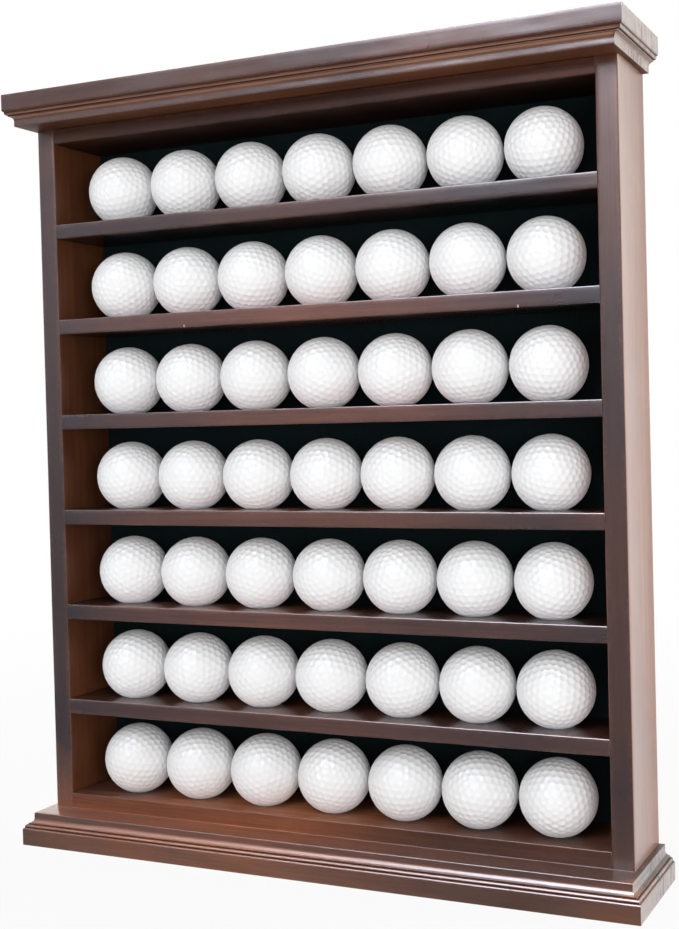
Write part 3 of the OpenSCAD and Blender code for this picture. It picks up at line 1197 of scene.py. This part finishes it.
@dataclass
class Mouldings:
    """The cap board with its hanger pockets, and the base board with its screw seats."""

    plate_l: float = 44.0
    plate_h: float = 16.0
    plate_t: float = 1.5
    plate_inset: float = 65.5
    screw_inset: float = 12.0
    head_r: float = 4.0
    shank_r: float = 1.75
    seat_h: float = 2.25
    gap: float = 0.15
    keyhole_r: float = 4.25
    keyslot_rise: float = 6.0
    pocket_d: float = 7.5
    pieces: list[Object] = field(default_factory=list)

    def stadium(self) -> list[Point2]:
        """Returns the outline of a plate's pocket."""
        r = self.plate_h / 2 + self.gap
        flat = (self.plate_l - self.plate_h) / 2
        return arc((flat, 0), r, -90, 90, 20) + arc((-flat, 0), r, 90, 270, 20)

    def keyhole(self) -> list[Point2]:
        """Returns the outline of the pocket for a wall screw's head."""
        r, low, high = self.keyhole_r, -self.keyslot_rise / 2, self.keyslot_rise / 2
        return arc((0, low), r, 180, 360, 20) + arc((0, high), r, 0, 180, 20)

    def build(self) -> None:
        """Builds both boards and cuts their pockets."""
        cap = RoutedBoard("cap_board_routed", SIZES.carcass_top, 1, 3, (Nick(88.0, 0.6, 0.15, False),), 0.9)
        base = RoutedBoard("base_board_routed", SIZES.board_t, -1, 8, (Nick(122.0, 0.7, 0.15, False),), 0.3)
        cap_obj, base_obj = cap.build(), base.build()
        cutters = []
        x, z = SIZES.board_l / 2 - self.plate_inset, SIZES.carcass_top + SIZES.board_t / 2
        for number, middle in enumerate((-x, x)):
            place = Matrix.Translation((middle, SIZES.back_y, z)) @ Matrix.Rotation(math.radians(90), 4, "X")
            cutters.append(prism(f"plate_pocket_{number}", self.stadium(), -1.0, self.plate_t, place))
            head = prism(f"head_pocket_{number}", self.keyhole(), self.plate_t - 0.5, self.pocket_d, place)
            cutters.append(head)
        carve(cap_obj, cutters)
        seats = []
        x = SIZES.inner_w / 2 + (SIZES.housing_d + SIZES.side_t) / 2
        for sx in (-x, x):
            for y in (SIZES.front_y + self.screw_inset, SIZES.back_y - self.screw_inset):
                foot, up = (sx, y, -0.5), Vector((0, 0, 1))
                seats.append(cone_cutter("screw_seat", foot, up, self.head_r, self.shank_r, self.seat_h))
        carve(base_obj, seats)
        # Toner depths with painted light and painted shade in them: the cap lighter toward its right, the
        # base lighter over its left half and darker toward its right.
        cap_tones_and_shade = toned_and_shaded((-190, 0.7), (-30, 1.1), (40, 0.95), (80, 1.25), (140, 1.15), (190, 1.2))
        cap_front_tones_and_shade = toned_and_shaded((-190, 0.3), (-30, 0.45), (40, 0.24), (80, 0.56), (140, 0.42), (190, 0.48))
        base_left_tones_and_shade = ((-190, 1.3), (-140, 1.3), (-110, 1.85), (-20, 1.75), (50, 0.76))
        base_tones_and_shade = toned_and_shaded(*base_left_tones_and_shade, (90, 0.5), (140, 0.4), (183, 0.34), (190, 1.6))
        front_left_tones_and_shade = ((-190, 0.66), (-110, 1.5), (-20, 1.5), (50, 0.92))
        base_front_tones_and_shade = toned_and_shaded(*front_left_tones_and_shade, (90, 0.6), (140, 0.54), (190, 0.82))
        for obj, node, seed, tones_and_shade, front in (
            (cap_obj, "cap_board", 0.4, cap_tones_and_shade, cap_front_tones_and_shade),
            (base_obj, "base_board", 2.9, base_tones_and_shade, base_front_tones_and_shade),
        ):
            finish = StainedWood(f"stain_{node}", Grain.ACROSS, seed, tones_and_shade, front, **WARM)
            paint(obj, finish.make())
            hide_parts(node)
            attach(obj, "carcass")
            self.pieces.append(obj)


# Carcass


@dataclass
class SidePanel:
    """Upright panel with housings for the shelves and a rebate for the back."""

    side: int
    seed: int
    ease_r: float = 0.8
    back_r: float = 0.4
    lip: float = 3.0
    step: float = 6.0

    def outline(self) -> Section:
        """Builds the panel's section.

        Returns:
            Distance from the inner face, y, and wear, for each point.
        """
        f, b, t = SIZES.front_y, SIZES.back_y, SIZES.side_t
        r, small = self.ease_r, self.back_r
        rebate, floor, stop = SIZES.rebate_w, b - SIZES.back_t, f + self.lip
        rows = tagged(arc((r, f + r), r, 180, 270, 4), 0.7)
        rows += tagged(split((r, f), (t - r, f), 5), 0.05)
        rows += tagged(arc((t - r, f + r), r, 270, 360, 4), 0.7)
        rows += tagged(split((t, f + r), (t, b - small), 12), 0.05)
        rows += tagged(arc((t - small, b - small), small, 0, 90, 3), 0.6)
        rows += [(rebate, b, 0.3), (rebate, floor, 0.0), (0.0, floor, 0.0)]
        rows += tagged(split((0.0, floor), (0.0, stop), 12), 0.0)
        rows += tagged([(0.0, stop), (0.0, stop - 0.02), (0.0, f + r + 0.7)], 0.0)
        return rows

    def levels(self) -> list[tuple[float, bool]]:
        """Spaces the panel's rings.

        Returns:
            Each ring's height, and whether it lies in a housing.
        """
        s = SIZES
        cuts = [(s.board_t, s.opening_z + s.joint_gap)]
        cuts += [(s.floor_z(i) - s.shelf_t, s.floor_z(i) + s.joint_gap) for i in range(s.tiers - 1, 0, -1)]
        cuts += [(s.carcass_top - s.shelf_t - s.joint_gap, s.carcass_top)]
        rings: list[tuple[float, bool]] = []
        last = s.board_t
        for low, high in cuts:
            if low > last:
                heights = np.linspace(last, low, round((low - last) / self.step) + 1)
                rings += [(float(z), False) for z in heights]
            rings += [(low, True), ((low + high) / 2, True), (high, True)]
            last = high
        return rings

    def build(self) -> Object:
        """Builds the panel.

        Returns:
            The panel's object.
        """
        section, rings = self.outline(), self.levels()
        points, wear = [], []
        inner = SIZES.inner_w / 2
        for z, housed in rings:
            here = np.array([z])
            for row, (x, y, w) in enumerate(section):
                drift = float(wobble(here, self.seed * 13 + row // 4, 140.0)[0]) * 0.06
                shift_y = drift if y < SIZES.front_y + 1.0 else 0.0
                stopped = y < SIZES.front_y + self.lip - 0.01
                x_now = max(x, SIZES.housing_d) if housed and not stopped else x
                points.append((self.side * (inner + x_now), y + shift_y, z))
                wear.append(rubbed(w, here, self.seed * 5 + row // 5, 70.0))
        faces = strips(len(rings), len(section)) + ends(len(rings), len(section))
        label = "left" if self.side < 0 else "right"
        obj = mesh_object(f"side_panel_{label}_board", np.array(points), faces, {"wear": np.array(wear)})
        clean(obj)
        if self.side < 0:
            # These depths hold painted light and shade with the toner: the left stile bright at its foot, the
            # right stile lighter toward the top, the right outer face darker at the top.
            tones_and_shade = toned_and_shaded((20, 1.2), (90, 1.3), (150, 1.1), (437, 1.15))
            foot = ((20, 1.75), (62, 0.11), (110, 0.19), (200, 0.18))
            front = toned_and_shaded(*foot, (300, 0.2), (400, 0.24), (437, 0.5))
        else:
            tones_and_shade = toned_and_shaded((20, 2.0), (60, 2.25), (200, 2.35), (330, 2.2), (437, 1.5))
            foot = ((20, 0.47), (60, 0.17), (95, 0.34), (200, 0.36), (240, 0.2))
            front = toned_and_shaded(*foot, (305, 0.18), (345, 0.4), (437, 0.75))
        name, seed = f"stain_side_{label}", 1.3 + self.seed
        gloss = {"gloss": 0.95, "gloss_back": 0.5, "figure": 0.6, "outward": self.side}
        finish = StainedWood(name, Grain.UPRIGHT, seed, tones_and_shade, front, **gloss, **WARM)
        paint(obj, finish.make())
        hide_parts(f"side_panel_{label}")
        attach(obj, "carcass")
        return obj


@dataclass
class CrossBoard:
    """Shelf, top panel or bottom panel between the side panels.

    stop_in is how far behind the front the board's ends stop, and rim_w the width of the flat ring that joins
    a ball's seat to the top.
    """

    node: str
    under_z: float
    depth: float
    seed: int
    seats: bool = True
    nicks: tuple[Nick, ...] = ()
    tones_and_shade: tuple[ToneAndShade, ...] = ()
    gloss: float = 1.0
    front_tones_and_shade: tuple[ToneAndShade, ...] = ()
    shades: dict[str, Colour] = field(default_factory=dict)
    ease_r: float = 0.8
    step: float = 2.6
    front_w: float = 3.2
    stop_in: float = 3.05
    rim_w: float = 0.2

    def outline(self) -> Section:
        """Builds the board's section.

        Returns:
            Its y, height over the underside, and wear, for each point. The top's strip starts at the fourth
            point from the end.
        """
        f, t, r = SIZES.front_y, SIZES.shelf_t, self.ease_r
        near, far = f + self.front_w, f + self.depth
        rows = tagged(arc((f + r, r), r, 270, 180, 6), 0.6)
        rows += tagged(split((f, r), (f, t - r), 4), 0.05)
        rows += tagged(arc((f + r, t - r), r, 180, 90, 6), 0.75)
        rows += tagged([(near, t), (far, t), (far, 0.0), (near, 0.0)], 0.0)
        return rows

    def seated_top(self, border: Section, first: int) -> tuple[Section, list[Face]]:
        """Fills the board's top round its seats and hollows the seats.

        Args:
            border: the top's outline.
            first: the number of the first new point.

        Returns:
            The new points, and the new faces.
        """
        s, sides = SIZES, 72
        radius = s.ball_d / 2 + s.seat_gap
        top_z = self.under_z + s.shelf_t
        centre_z = top_z - s.ball_sink + s.ball_d / 2
        middle_y = s.front_y + s.ball_setback
        rim = math.acos((centre_z - top_z) / radius)
        hole_r = radius * math.sin(rim) + self.rim_w
        angles = np.linspace(0, 2 * math.pi, sides, endpoint=False)
        spots = [Vector((x, y)) for x, y, _ in border]
        edges = [(k, (k + 1) % len(border)) for k in range(len(border))]
        points: Section = []
        faces: list[Face] = []
        for place in range(s.per_tier):
            cx, start = s.ball_x(place), len(spots)
            spots += [Vector((cx + hole_r * math.cos(a), middle_y + hole_r * math.sin(a))) for a in angles]
            edges += [(start + k, start + (k + 1) % sides) for k in range(sides)]
            rings = [(hole_r, top_z)]
            slopes = np.linspace(rim * 0.985, 0.06, 9)
            rings += [(radius * math.sin(t), centre_z - radius * math.cos(t)) for t in slopes]
            base = first + len(points)
            for ring_r, z in rings:
                points += [(cx + ring_r * math.cos(a), middle_y + ring_r * math.sin(a), z) for a in angles]
            for ring in range(len(rings) - 1):
                low, high = base + ring * sides, base + (ring + 1) * sides
                pairs = [(k, (k + 1) % sides) for k in range(sides)]
                faces += [(low + k, low + t, high + t, high + k) for k, t in pairs]
            faces.append(tuple(base + (len(rings) - 1) * sides + k for k in range(sides)))
        flat, _, triangles, _, _, _ = delaunay_2d_cdt(spots, edges, [], 0, 1e-5)
        start = first + len(points)
        inside = hole_r * math.cos(math.pi / sides) - 1e-4
        points += [(v.x, v.y, top_z) for v in flat]
        for triangle in triangles:
            x = sum(flat[k].x for k in triangle) / 3
            y = sum(flat[k].y for k in triangle) / 3
            if all(math.hypot(x - s.ball_x(j), y - middle_y) > inside for j in range(s.per_tier)):
                faces.append(tuple(start + k for k in triangle))
        return points, faces

    def build(self) -> Object:
        """Builds the board with its ball seats.

        Returns:
            The board's object.
        """
        half = SIZES.inner_w / 2 + SIZES.housing_d - SIZES.joint_gap
        section = self.outline()
        edge = SIZES.inner_w / 2
        between = refined(-edge + 0.05, edge - 0.05, self.step, self.nicks)
        places = np.concatenate([[-half, -edge], between, [edge, half]])
        over = dent(places, tuple(n for n in self.nicks if not n.under))
        under = dent(places, tuple(n for n in self.nicks if n.under))
        points, wear, chip = [], [], []
        for column, x in enumerate(places):
            here = np.array([x])
            housed = abs(x) > SIZES.inner_w / 2 - 0.01
            for row, (y, z, w) in enumerate(section):
                upper = z > SIZES.shelf_t / 2
                if housed:
                    y, w = max(y, SIZES.front_y + self.stop_in), 0.0
                drift = float(wobble(here, self.seed * 17 + row // 5, 120.0)[0]) * 0.05
                deep, bare = over if upper else under
                inward = float(deep[column]) if w > 0.5 else 0.0
                shift = drift + inward if y < SIZES.front_y + 2.0 else 0.0
                points.append((x, y + shift, self.under_z + z + inward * (-0.6 if upper else 0.6)))
                wear.append(rubbed(w, here, self.seed * 3 + row // 6, 80.0))
                chip.append(float(bare[column]) if inward > 0.1 else 0.0)
        n, top = len(section), len(section) - 4
        faces = strips(len(places), n, open_row=top if self.seats else -1) + ends(len(places), n)
        if self.seats:
            border = [points[k * n + top] for k in range(len(places))]
            border += [points[k * n + top + 1] for k in range(len(places) - 1, -1, -1)]
            more, more_faces = self.seated_top(border, len(points))
            points += more
            faces += more_faces
            wear += [0.0] * len(more)
            chip += [0.0] * len(more)
        masks = {"wear": np.array(wear), "chip": np.array(chip)}
        obj = mesh_object(f"{self.node}_board", np.array(points), faces, masks)
        clean(obj, 20.0)
        name, seed = f"stain_{self.node}", 0.7 * self.seed + 0.2
        tones_and_shade = {"tones_and_shade": self.tones_and_shade, "front_tones_and_shade": self.front_tones_and_shade}
        finish = StainedWood(name, Grain.ACROSS, seed, gloss=self.gloss, **tones_and_shade, **self.shades)
        paint(obj, finish.make())
        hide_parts(self.node)
        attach(obj, "carcass")
        return obj


@dataclass
class LacquerLine:
    """Lacquer that ran into the joint between the carcass and the base board."""

    tones_and_shade: tuple[ToneAndShade, ...]
    ahead: float = 0.22
    rise: float = 0.85
    inside: float = 1.2
    step: float = 2.0

    def build(self) -> Object:
        """Builds the line along the foot of the carcass.

        Returns:
            The line's object.
        """
        half = SIZES.inner_w / 2 + SIZES.side_t - 0.4
        places = np.linspace(-half, half, round(2 * half / self.step) + 1)
        swell = 1.0 + 0.35 * wobble(places, 5, 70.0)
        hollow = arc((-self.ahead, self.rise), 1.0, -90, 0, 5)
        points: Section = []
        for x, size in zip(places, swell):
            foot = self.ahead * size
            rim = []
            for y, z in hollow:
                rim.append(((y + self.ahead) * self.ahead * 1.4 - foot, (z - self.rise + 1.0) * self.rise))
            rim += [(self.inside, self.rise), (self.inside, -0.05), (-foot, -0.05)]
            points += [(x, SIZES.front_y + y, SIZES.board_t + z) for y, z in rim]
        n = len(hollow) + 3
        faces = strips(len(places), n) + ends(len(places), n)
        obj = mesh_object("joint_lacquer_line", np.array(points), faces)
        clean(obj)
        paint(obj, StainedWood("stain_joint", Grain.ACROSS, 6.1, self.tones_and_shade, gloss=0.25).make())
        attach(obj, "carcass")
        return obj


@dataclass
class Carcass:
    """Side panels, shelves, top and bottom panels."""

    pieces: list[Object] = field(default_factory=list)

    def build(self) -> None:
        """Builds every board of the carcass."""
        s = SIZES
        self.pieces.append(SidePanel(-1, 1).build())
        self.pieces.append(SidePanel(1, 2).build())
        nicks = {2: (Nick(126.0, 0.6, 0.28, under=True), Nick(-80.0, 0.55, 0.24, under=True))}
        # Each shelf's depths hold the toner with painted light and shade: mostly brighter across the middle
        # and darker toward the ends by the side panels.
        tones_and_shade = {
            1: toned_and_shaded((-168, 0.09), (-80, 0.19), (-10, 0.35), (60, 0.3), (90, 0.14), (120, 0.12), (168, 0.24)),
            2: toned_and_shaded((-168, 0.16), (-100, 0.72), (-20, 1.22), (50, 0.95), (130, 0.27), (168, 0.03)),
            3: toned_and_shaded((-168, 0.05), (-110, 0.43), (-40, 0.78), (60, 1.05), (110, 0.38), (168, 0.18)),
            4: toned_and_shaded((-168, 0.1), (-110, 0.7), (-70, 0.76), (20, 0.74), (80, 0.5), (130, 0.24), (168, 0.58)),
            5: toned_and_shaded((-168, 0.03), (-110, 0.56), (-30, 0.93), (60, 0.44), (120, 0.4), (168, 0.2)),
            6: toned_and_shaded((-168, 0.25), (-90, 0.42), (0, 0.7), (60, 0.42), (130, 0.22), (168, 0.38)),
        }
        for i in range(1, s.tiers):
            gloss, ease = (0.82, 0.8) if i == 1 else (1.0, 0.55)
            finish = {"nicks": nicks.get(i, ()), "tones_and_shade": tones_and_shade[i], "gloss": gloss, "ease_r": ease}
            board = CrossBoard(f"shelf_{i}", s.floor_z(i) - s.shelf_t, s.shelf_d, 10 + i, **finish)
            self.pieces.append(board.build())
        deep = s.shelf_d + s.felt_t
        # The top panel is painted dark: its front as the cap's shadow falling on it, its underside as the
        # shade over the top tier.
        top_front_tones_and_shade = toned_and_shaded((-168, 0.4), (0, 0.38), (168, 0.7))
        top_tones_and_shade = toned_and_shaded((-168, 0.4), (0, 0.3), (168, 0.22))
        # The bottom panel is painted light over its left half and painted dark toward its right and in the
        # corner by the left wall; the joint line takes its front's depths.
        low_front_tones_and_shade = toned_and_shaded((-168, 1.85), (-20, 2.2), (40, 0.9), (80, 0.46), (168, 0.54))
        low_left_tones_and_shade = ((-168, 0.45), (-140, 0.9), (-100, 2.1), (-20, 2.3))
        low_tones_and_shade = toned_and_shaded(*low_left_tones_and_shade, (40, 1.15), (80, 0.5), (168, 0.38))
        top_z = s.carcass_top - s.shelf_t
        top = CrossBoard("top_panel", top_z, deep, 30, False, (), top_tones_and_shade, 0.3, top_front_tones_and_shade)
        low_look = {"gloss": 0.25, "front_tones_and_shade": low_front_tones_and_shade, "shades": WARM, "ease_r": 0.45}
        low = CrossBoard("bottom_panel", s.board_t, deep, 31, tones_and_shade=low_tones_and_shade, **low_look)
        self.pieces += [top.build(), low.build(), LacquerLine(low_front_tones_and_shade).build()]


@dataclass
class Lining:
    """Felt sheet glued to the back panel."""

    cell: float = 3.4

    def build(self) -> Object:
        """Builds the felt sheet.

        Returns:
            The felt's object.
        """
        s = SIZES
        w, h = s.inner_w - 2 * s.joint_gap, s.opening_h
        nx, nz = round(w / self.cell), round(h / self.cell)
        front = s.back_y - s.back_t - s.felt_t
        rng = np.random.default_rng(5)
        lift = rng.uniform(0.0, 0.12, (nz + 1, nx + 1))
        lift[[0, -1], :] *= 0.3
        lift[:, [0, -1]] *= 0.3
        points: Section = []
        for layer in range(2):
            for k in range(nz + 1):
                for j in range(nx + 1):
                    y = front + float(lift[k, j]) if layer == 0 else front + s.felt_t - 0.02
                    points.append((-w / 2 + w * j / nx, y, s.opening_z + h * k / nz))
        step = (nx + 1) * (nz + 1)
        faces: list[Face] = []
        for k in range(nz):
            for j in range(nx):
                a = k * (nx + 1) + j
                faces.append((a, a + 1, a + nx + 2, a + nx + 1))
                faces.append((a + step, a + nx + 1 + step, a + nx + 2 + step, a + 1 + step))
        edge = [*range(nx + 1)] + [(k + 1) * (nx + 1) + nx for k in range(nz)]
        edge += [nz * (nx + 1) + j for j in range(nx - 1, -1, -1)]
        edge += [k * (nx + 1) for k in range(nz - 1, 0, -1)]
        faces += [(a, a + step, b + step, b) for a, b in zip(edge, edge[1:] + edge[:1])]
        obj = mesh_object("felt_sheet", np.array(points), faces)
        clean(obj, 60.0)
        paint(obj, Felt().make())
        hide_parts("felt_lining")
        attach(obj, "carcass")
        return obj


# Balls


@dataclass
class DimpledBall:
    """Golf ball mesh with its dimples laid out on an icosahedral lattice."""

    name: str
    lattice: tuple[int, int]
    spread: float
    depth: float = 0.42

    def triangles(self) -> list[list[np.ndarray]]:
        """Finds the icosahedron's faces.

        Returns:
            The corners of each face, as unit vectors that run counterclockwise from outside.
        """
        golden = (1 + math.sqrt(5)) / 2
        base = np.array([(0, a, b * golden) for a in (-1, 1) for b in (-1, 1)], float)
        corners = np.vstack([base, base[:, [2, 0, 1]], base[:, [1, 2, 0]]])
        corners /= np.linalg.norm(corners[0])
        reach = min(np.linalg.norm(corners[0] - c) for c in corners[1:]) * 1.01
        found = []
        for a, b, c in combinations(corners, 3):
            if all(np.linalg.norm(p - q) < reach for p, q in ((a, b), (b, c), (a, c))):
                outward = np.dot(np.cross(b - a, c - a), a) > 0
                found.append([a, b, c] if outward else [a, c, b])
        return found

    def centres(self) -> np.ndarray:
        """Finds the middles of the dimples.

        Returns:
            One unit vector for each dimple.
        """
        m, n = self.lattice
        turn = complex(0.5, math.sqrt(3) / 2)
        found: dict[Point3, np.ndarray] = {}
        for a, b, c in self.triangles():
            for i in range(-n, m + n + 1):
                for j in range(m + n + 1):
                    spot = (i + j * turn) / (m + n * turn)
                    v = spot.imag / turn.imag
                    u = spot.real - v * 0.5
                    if min(u, v, 1 - u - v) >= -1e-9:
                        p = a * (1 - u - v) + b * u + c * v
                        p = p / np.linalg.norm(p)
                        found[tuple(np.round(p, 4) + 0.0)] = p
        return np.array(list(found.values()))

    def build(self) -> bpy.types.Mesh:
        """Builds the ball's mesh round the origin.

        Returns:
            The mesh, shared by many balls.
        """
        work = bmesh.new()
        bmesh.ops.create_icosphere(work, subdivisions=7, radius=1.0)
        mesh = bpy.data.meshes.new(self.name)
        work.to_mesh(mesh)
        work.free()
        flat = np.zeros(len(mesh.vertices) * 3)
        mesh.vertices.foreach_get("co", flat)
        rays = flat.reshape(-1, 3)
        rays /= np.linalg.norm(rays, axis=1)[:, None]
        radius = SIZES.ball_d / 2
        middles = self.centres()
        nearest = np.clip((rays @ middles.T).max(axis=1), -1, 1)
        share = np.arccos(nearest) * radius / (self.spread / 2)
        hollow = np.where(share < 1, 1 - share**2, 0.0)
        points = rays * (radius - self.depth * hollow)[:, None] * MM
        mesh.vertices.foreach_set("co", points.ravel())
        mesh.shade_smooth()
        mesh.update()
        LOG.info("%s: %d dimples", self.name, len(middles))
        return mesh


@dataclass
class BallRows:
    """Seven tiers of seven balls, each ball turned its own way."""

    seed: int = 21
    pieces: list[Object] = field(default_factory=list)

    def build(self) -> None:
        """Places the balls and dresses them."""
        s = SIZES
        cover = GolfCover().make()
        kinds = [DimpledBall("ball_392", (5, 2), 3.7).build(), DimpledBall("ball_362", (6, 0), 3.85).build()]
        for mesh in kinds:
            mesh.materials.append(cover)
        rng = np.random.default_rng(self.seed)
        for tier in range(1, s.tiers + 1):
            for place in range(s.per_tier):
                kind = kinds[int(rng.random() < 0.3)]
                obj = placed(f"ball_{tier}_{place + 1}", kind)
                turn = rng.normal(size=4)
                obj.rotation_mode = "QUATERNION"
                obj.rotation_quaternion = tuple(turn / np.linalg.norm(turn))
                z = s.floor_z(tier) - s.ball_sink + s.ball_d / 2
                obj.location = Vector((s.ball_x(place), s.front_y + s.ball_setback, z)) * MM
                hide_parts(f"ball_tier_{tier}")
                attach(obj, f"ball_tier_{tier}")
                self.pieces.append(obj)


# Carried-over solids


@dataclass
class Hardware:
    """Back panel, dowels, screws, nails and hanger plates, kept as packed and dressed."""

    def dress(self) -> None:
        """Gives each solid its finish."""
        steel, ply, beech = ZincSteel().make(), Plywood().make(), DowelWood().make()
        dressed = {"back_panel": (ply, Slot.PLYWOOD), "cap_dowels": (beech, Slot.DOWEL)}
        for node in ("base_screws", "back_nails", "hanger_screws", "hanger_plate_left", "hanger_plate_right"):
            dressed[node] = (steel, Slot.STEEL)
        for node, (material, slot) in dressed.items():
            paint(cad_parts[node], material)
            LOG.info("dressed %s", node)


# Studio


@dataclass
class Studio:
    """Camera, floor, white surround and soft lamps."""

    lens: float = 55.113
    shift: Point2 = (-0.00734, -0.01969)
    spot: Point3 = (0.3662, -0.7305, 0.2551)
    ahead: Point3 = (-0.43129, 0.90201, -0.01904)
    upward: Point3 = (0.01462, 0.02809, 0.9995)
    room: float = 0.5
    window: float = 36.0
    floor_half: float = 6000.0

    def camera(self) -> None:
        """Sets the camera at the photograph's place."""
        data = bpy.data.cameras.new("camera")
        data.sensor_fit = "VERTICAL"
        data.sensor_height = 36.0
        data.sensor_width = 36.0
        data.lens = self.lens
        data.shift_x, data.shift_y = self.shift
        obj = placed("camera", data)
        back = -Vector(self.ahead).normalized()
        right = Vector(self.upward).cross(back).normalized()
        up = back.cross(right)
        turn = Matrix((right, up, back)).transposed().to_4x4()
        obj.matrix_world = Matrix.Translation(self.spot) @ turn
        bpy.context.scene.camera = obj

    def lamp(
        self,
        name: str,
        spot: Point3,
        aim: Point3,
        size: Point2,
        watts: float,
        tint: Colour,
        mirrored: bool = True,
    ) -> None:
        """Adds a soft rectangular lamp.

        Args:
            name: the lamp's name.
            spot: its place in metres.
            aim: the point it faces.
            size: width and height in metres.
            watts: its power.
            tint: its colour.
            mirrored: whether glossy surfaces show it.
        """
        data = bpy.data.lights.new(name, "AREA")
        data.shape = "RECTANGLE"
        data.size, data.size_y = size
        data.energy = watts
        data.color = tint
        obj = placed(name, data)
        obj.location = spot
        obj.rotation_mode = "QUATERNION"
        obj.rotation_quaternion = (Vector(aim) - Vector(spot)).to_track_quat("-Z", "Y")
        obj.visible_camera = False
        obj.visible_glossy = mirrored

    def surround(self) -> None:
        """Makes the world: white to the eye, a pale room for light, and a room with a window for gloss."""
        world = bpy.data.worlds.new("surround")
        bpy.context.scene.world = world
        world.use_nodes = True
        g = NodeGraph(world.node_tree, "Generated")
        seen = g.node("Background", {"Color": (1.0, 1.0, 1.0)})
        lit = g.node("Background", {"Color": (0.98, 0.99, 1.0), "Strength": self.room})
        gloss = g.node("Background")
        way = g.parts(g.place)
        behind = g.mix(g.span(way["X"], 0.0, 0.5), (1.0, 1.0, 1.0), (1.0, 0.93, 0.87))
        low, high = (0.50, 0.50, 0.60), (0.87, 0.85, 1.0)
        room = g.ramp(g.span(way["Z"], -0.4, 0.4), [(0.1, low), (0.45, (0.78, 0.77, 0.90)), (0.8, high)])
        left = g.soft(way["X"], -0.44, -0.62)
        room = g.scaled(g.mix(left, g.mix(1.0, room, (0.76, 0.76, 0.76), "MULTIPLY"), room), 1.5)
        room = g.mix(g.span(way["Y"], 0.15, -0.45), behind, room)
        rise = g.maths("POWER", g.soft(way["Z"], 0.04, 0.50), 2.5)
        pane = g.times(g.soft(way["X"], -0.50, -0.28), g.soft(way["X"], 0.3, 0.1), rise)
        pane = g.times(pane, g.soft(way["Y"], 0.45, -0.12))
        window = g.scaled(g.mix(pane, (0.0, 0.0, 0.0), (0.80, 0.86, 1.0)), self.window)
        g.fill(gloss.inputs["Color"], g.mix(1.0, room, window, "ADD"))
        path = g.node("LightPath").outputs
        lighting = g.blend(path["Is Glossy Ray"], lit.outputs["Background"], gloss.outputs["Background"])
        clear = g.most(path["Is Camera Ray"], path["Is Transmission Ray"])
        g.node("OutputWorld", {"Surface": g.blend(clear, lighting, seen.outputs["Background"])})

    def floor(self) -> None:
        """Lays a pale floor that keeps the case's soft shadow."""
        far = self.floor_half
        corners = np.array([(-far, -far, 0), (far, -far, 0), (far, far, 0), (-far, far, 0)], float)
        obj = mesh_object("floor", corners, [(0, 1, 2, 3)])
        g = MaterialGraph("pale_floor")
        mottle = g.noise(g.even(6), 2.0, 0.5)
        pale = g.ramp(mottle, [(0.3, (0.88, 0.88, 0.88)), (0.7, (0.90, 0.90, 0.90))])
        g.set(base_color=pale, roughness=0.7, specular_ior_level=0.0)
        reach = g.node("VectorMath", {0: g.place}, operation="LENGTH")
        path = g.node("LightPath").outputs
        eye = g.most(path["Is Camera Ray"], path["Is Transmission Ray"])
        share = g.times(eye, g.span(reach.outputs["Value"], 0.3, 1.1, 0.9, 1.0))
        share = g.most(share, path["Is Glossy Ray"])
        beside = g.most(eye, g.span(g.parts(g.place)["Y"], -0.12, -0.03))
        glow = g.node("Emission", {"Color": g.mix(beside, (0.62, 0.62, 0.74), (1.0, 1.0, 1.0))})
        g.fill(g.output.inputs["Surface"], g.blend(share, g.shader.outputs["BSDF"], glow.outputs["Emission"]))
        obj.data.materials.append(g.material)
        obj.location.z = -0.2 * MM

    def build(self) -> None:
        """Builds the whole studio."""
        bpy.context.scene.view_settings.view_transform = "Standard"
        self.camera()
        self.surround()
        self.floor()
        low, middle = (0.0, 0.0, 0.15), (0.0, 0.0, 0.23)
        self.lamp("window_box", (-0.55, -1.5, 1.6), low, (0.6, 0.5), 6.5, (0.97, 0.97, 1.0), False)
        self.lamp("left_strip", (-1.1, -1.9, 0.2), middle, (1.2, 0.6), 4.2, (1.0, 1.0, 1.0), False)
        self.lamp("near_strip", (1.3, -1.75, 0.3), middle, (1.6, 0.9), 21.5, (1.0, 0.99, 0.98), False)
        self.lamp("right_box", (1.9, 1.3, 0.7), (0.0, 0.0, 0.25), (1.4, 1.2), 30.0, (1.0, 0.93, 0.87))
        self.lamp("back_left", (-1.2, 1.6, 0.55), (0.0, 0.0, 0.2), (0.8, 0.8), 4.0, (1.0, 0.98, 0.97))


def main() -> None:
    """Builds the case piece by piece and lights it."""
    logging.basicConfig(level=logging.INFO, format="%(message)s")
    boards = Mouldings()
    boards.build()
    carcass = Carcass()
    carcass.build()
    lining = Lining().build()
    balls = BallRows()
    balls.build()
    Hardware().dress()
    Studio().build()
    for obj in [*boards.pieces, *carcass.pieces, lining, *balls.pieces]:
        LOG.info("%s: %d points", obj.name, len(obj.data.vertices))


if __name__ == "__main__":
    main()
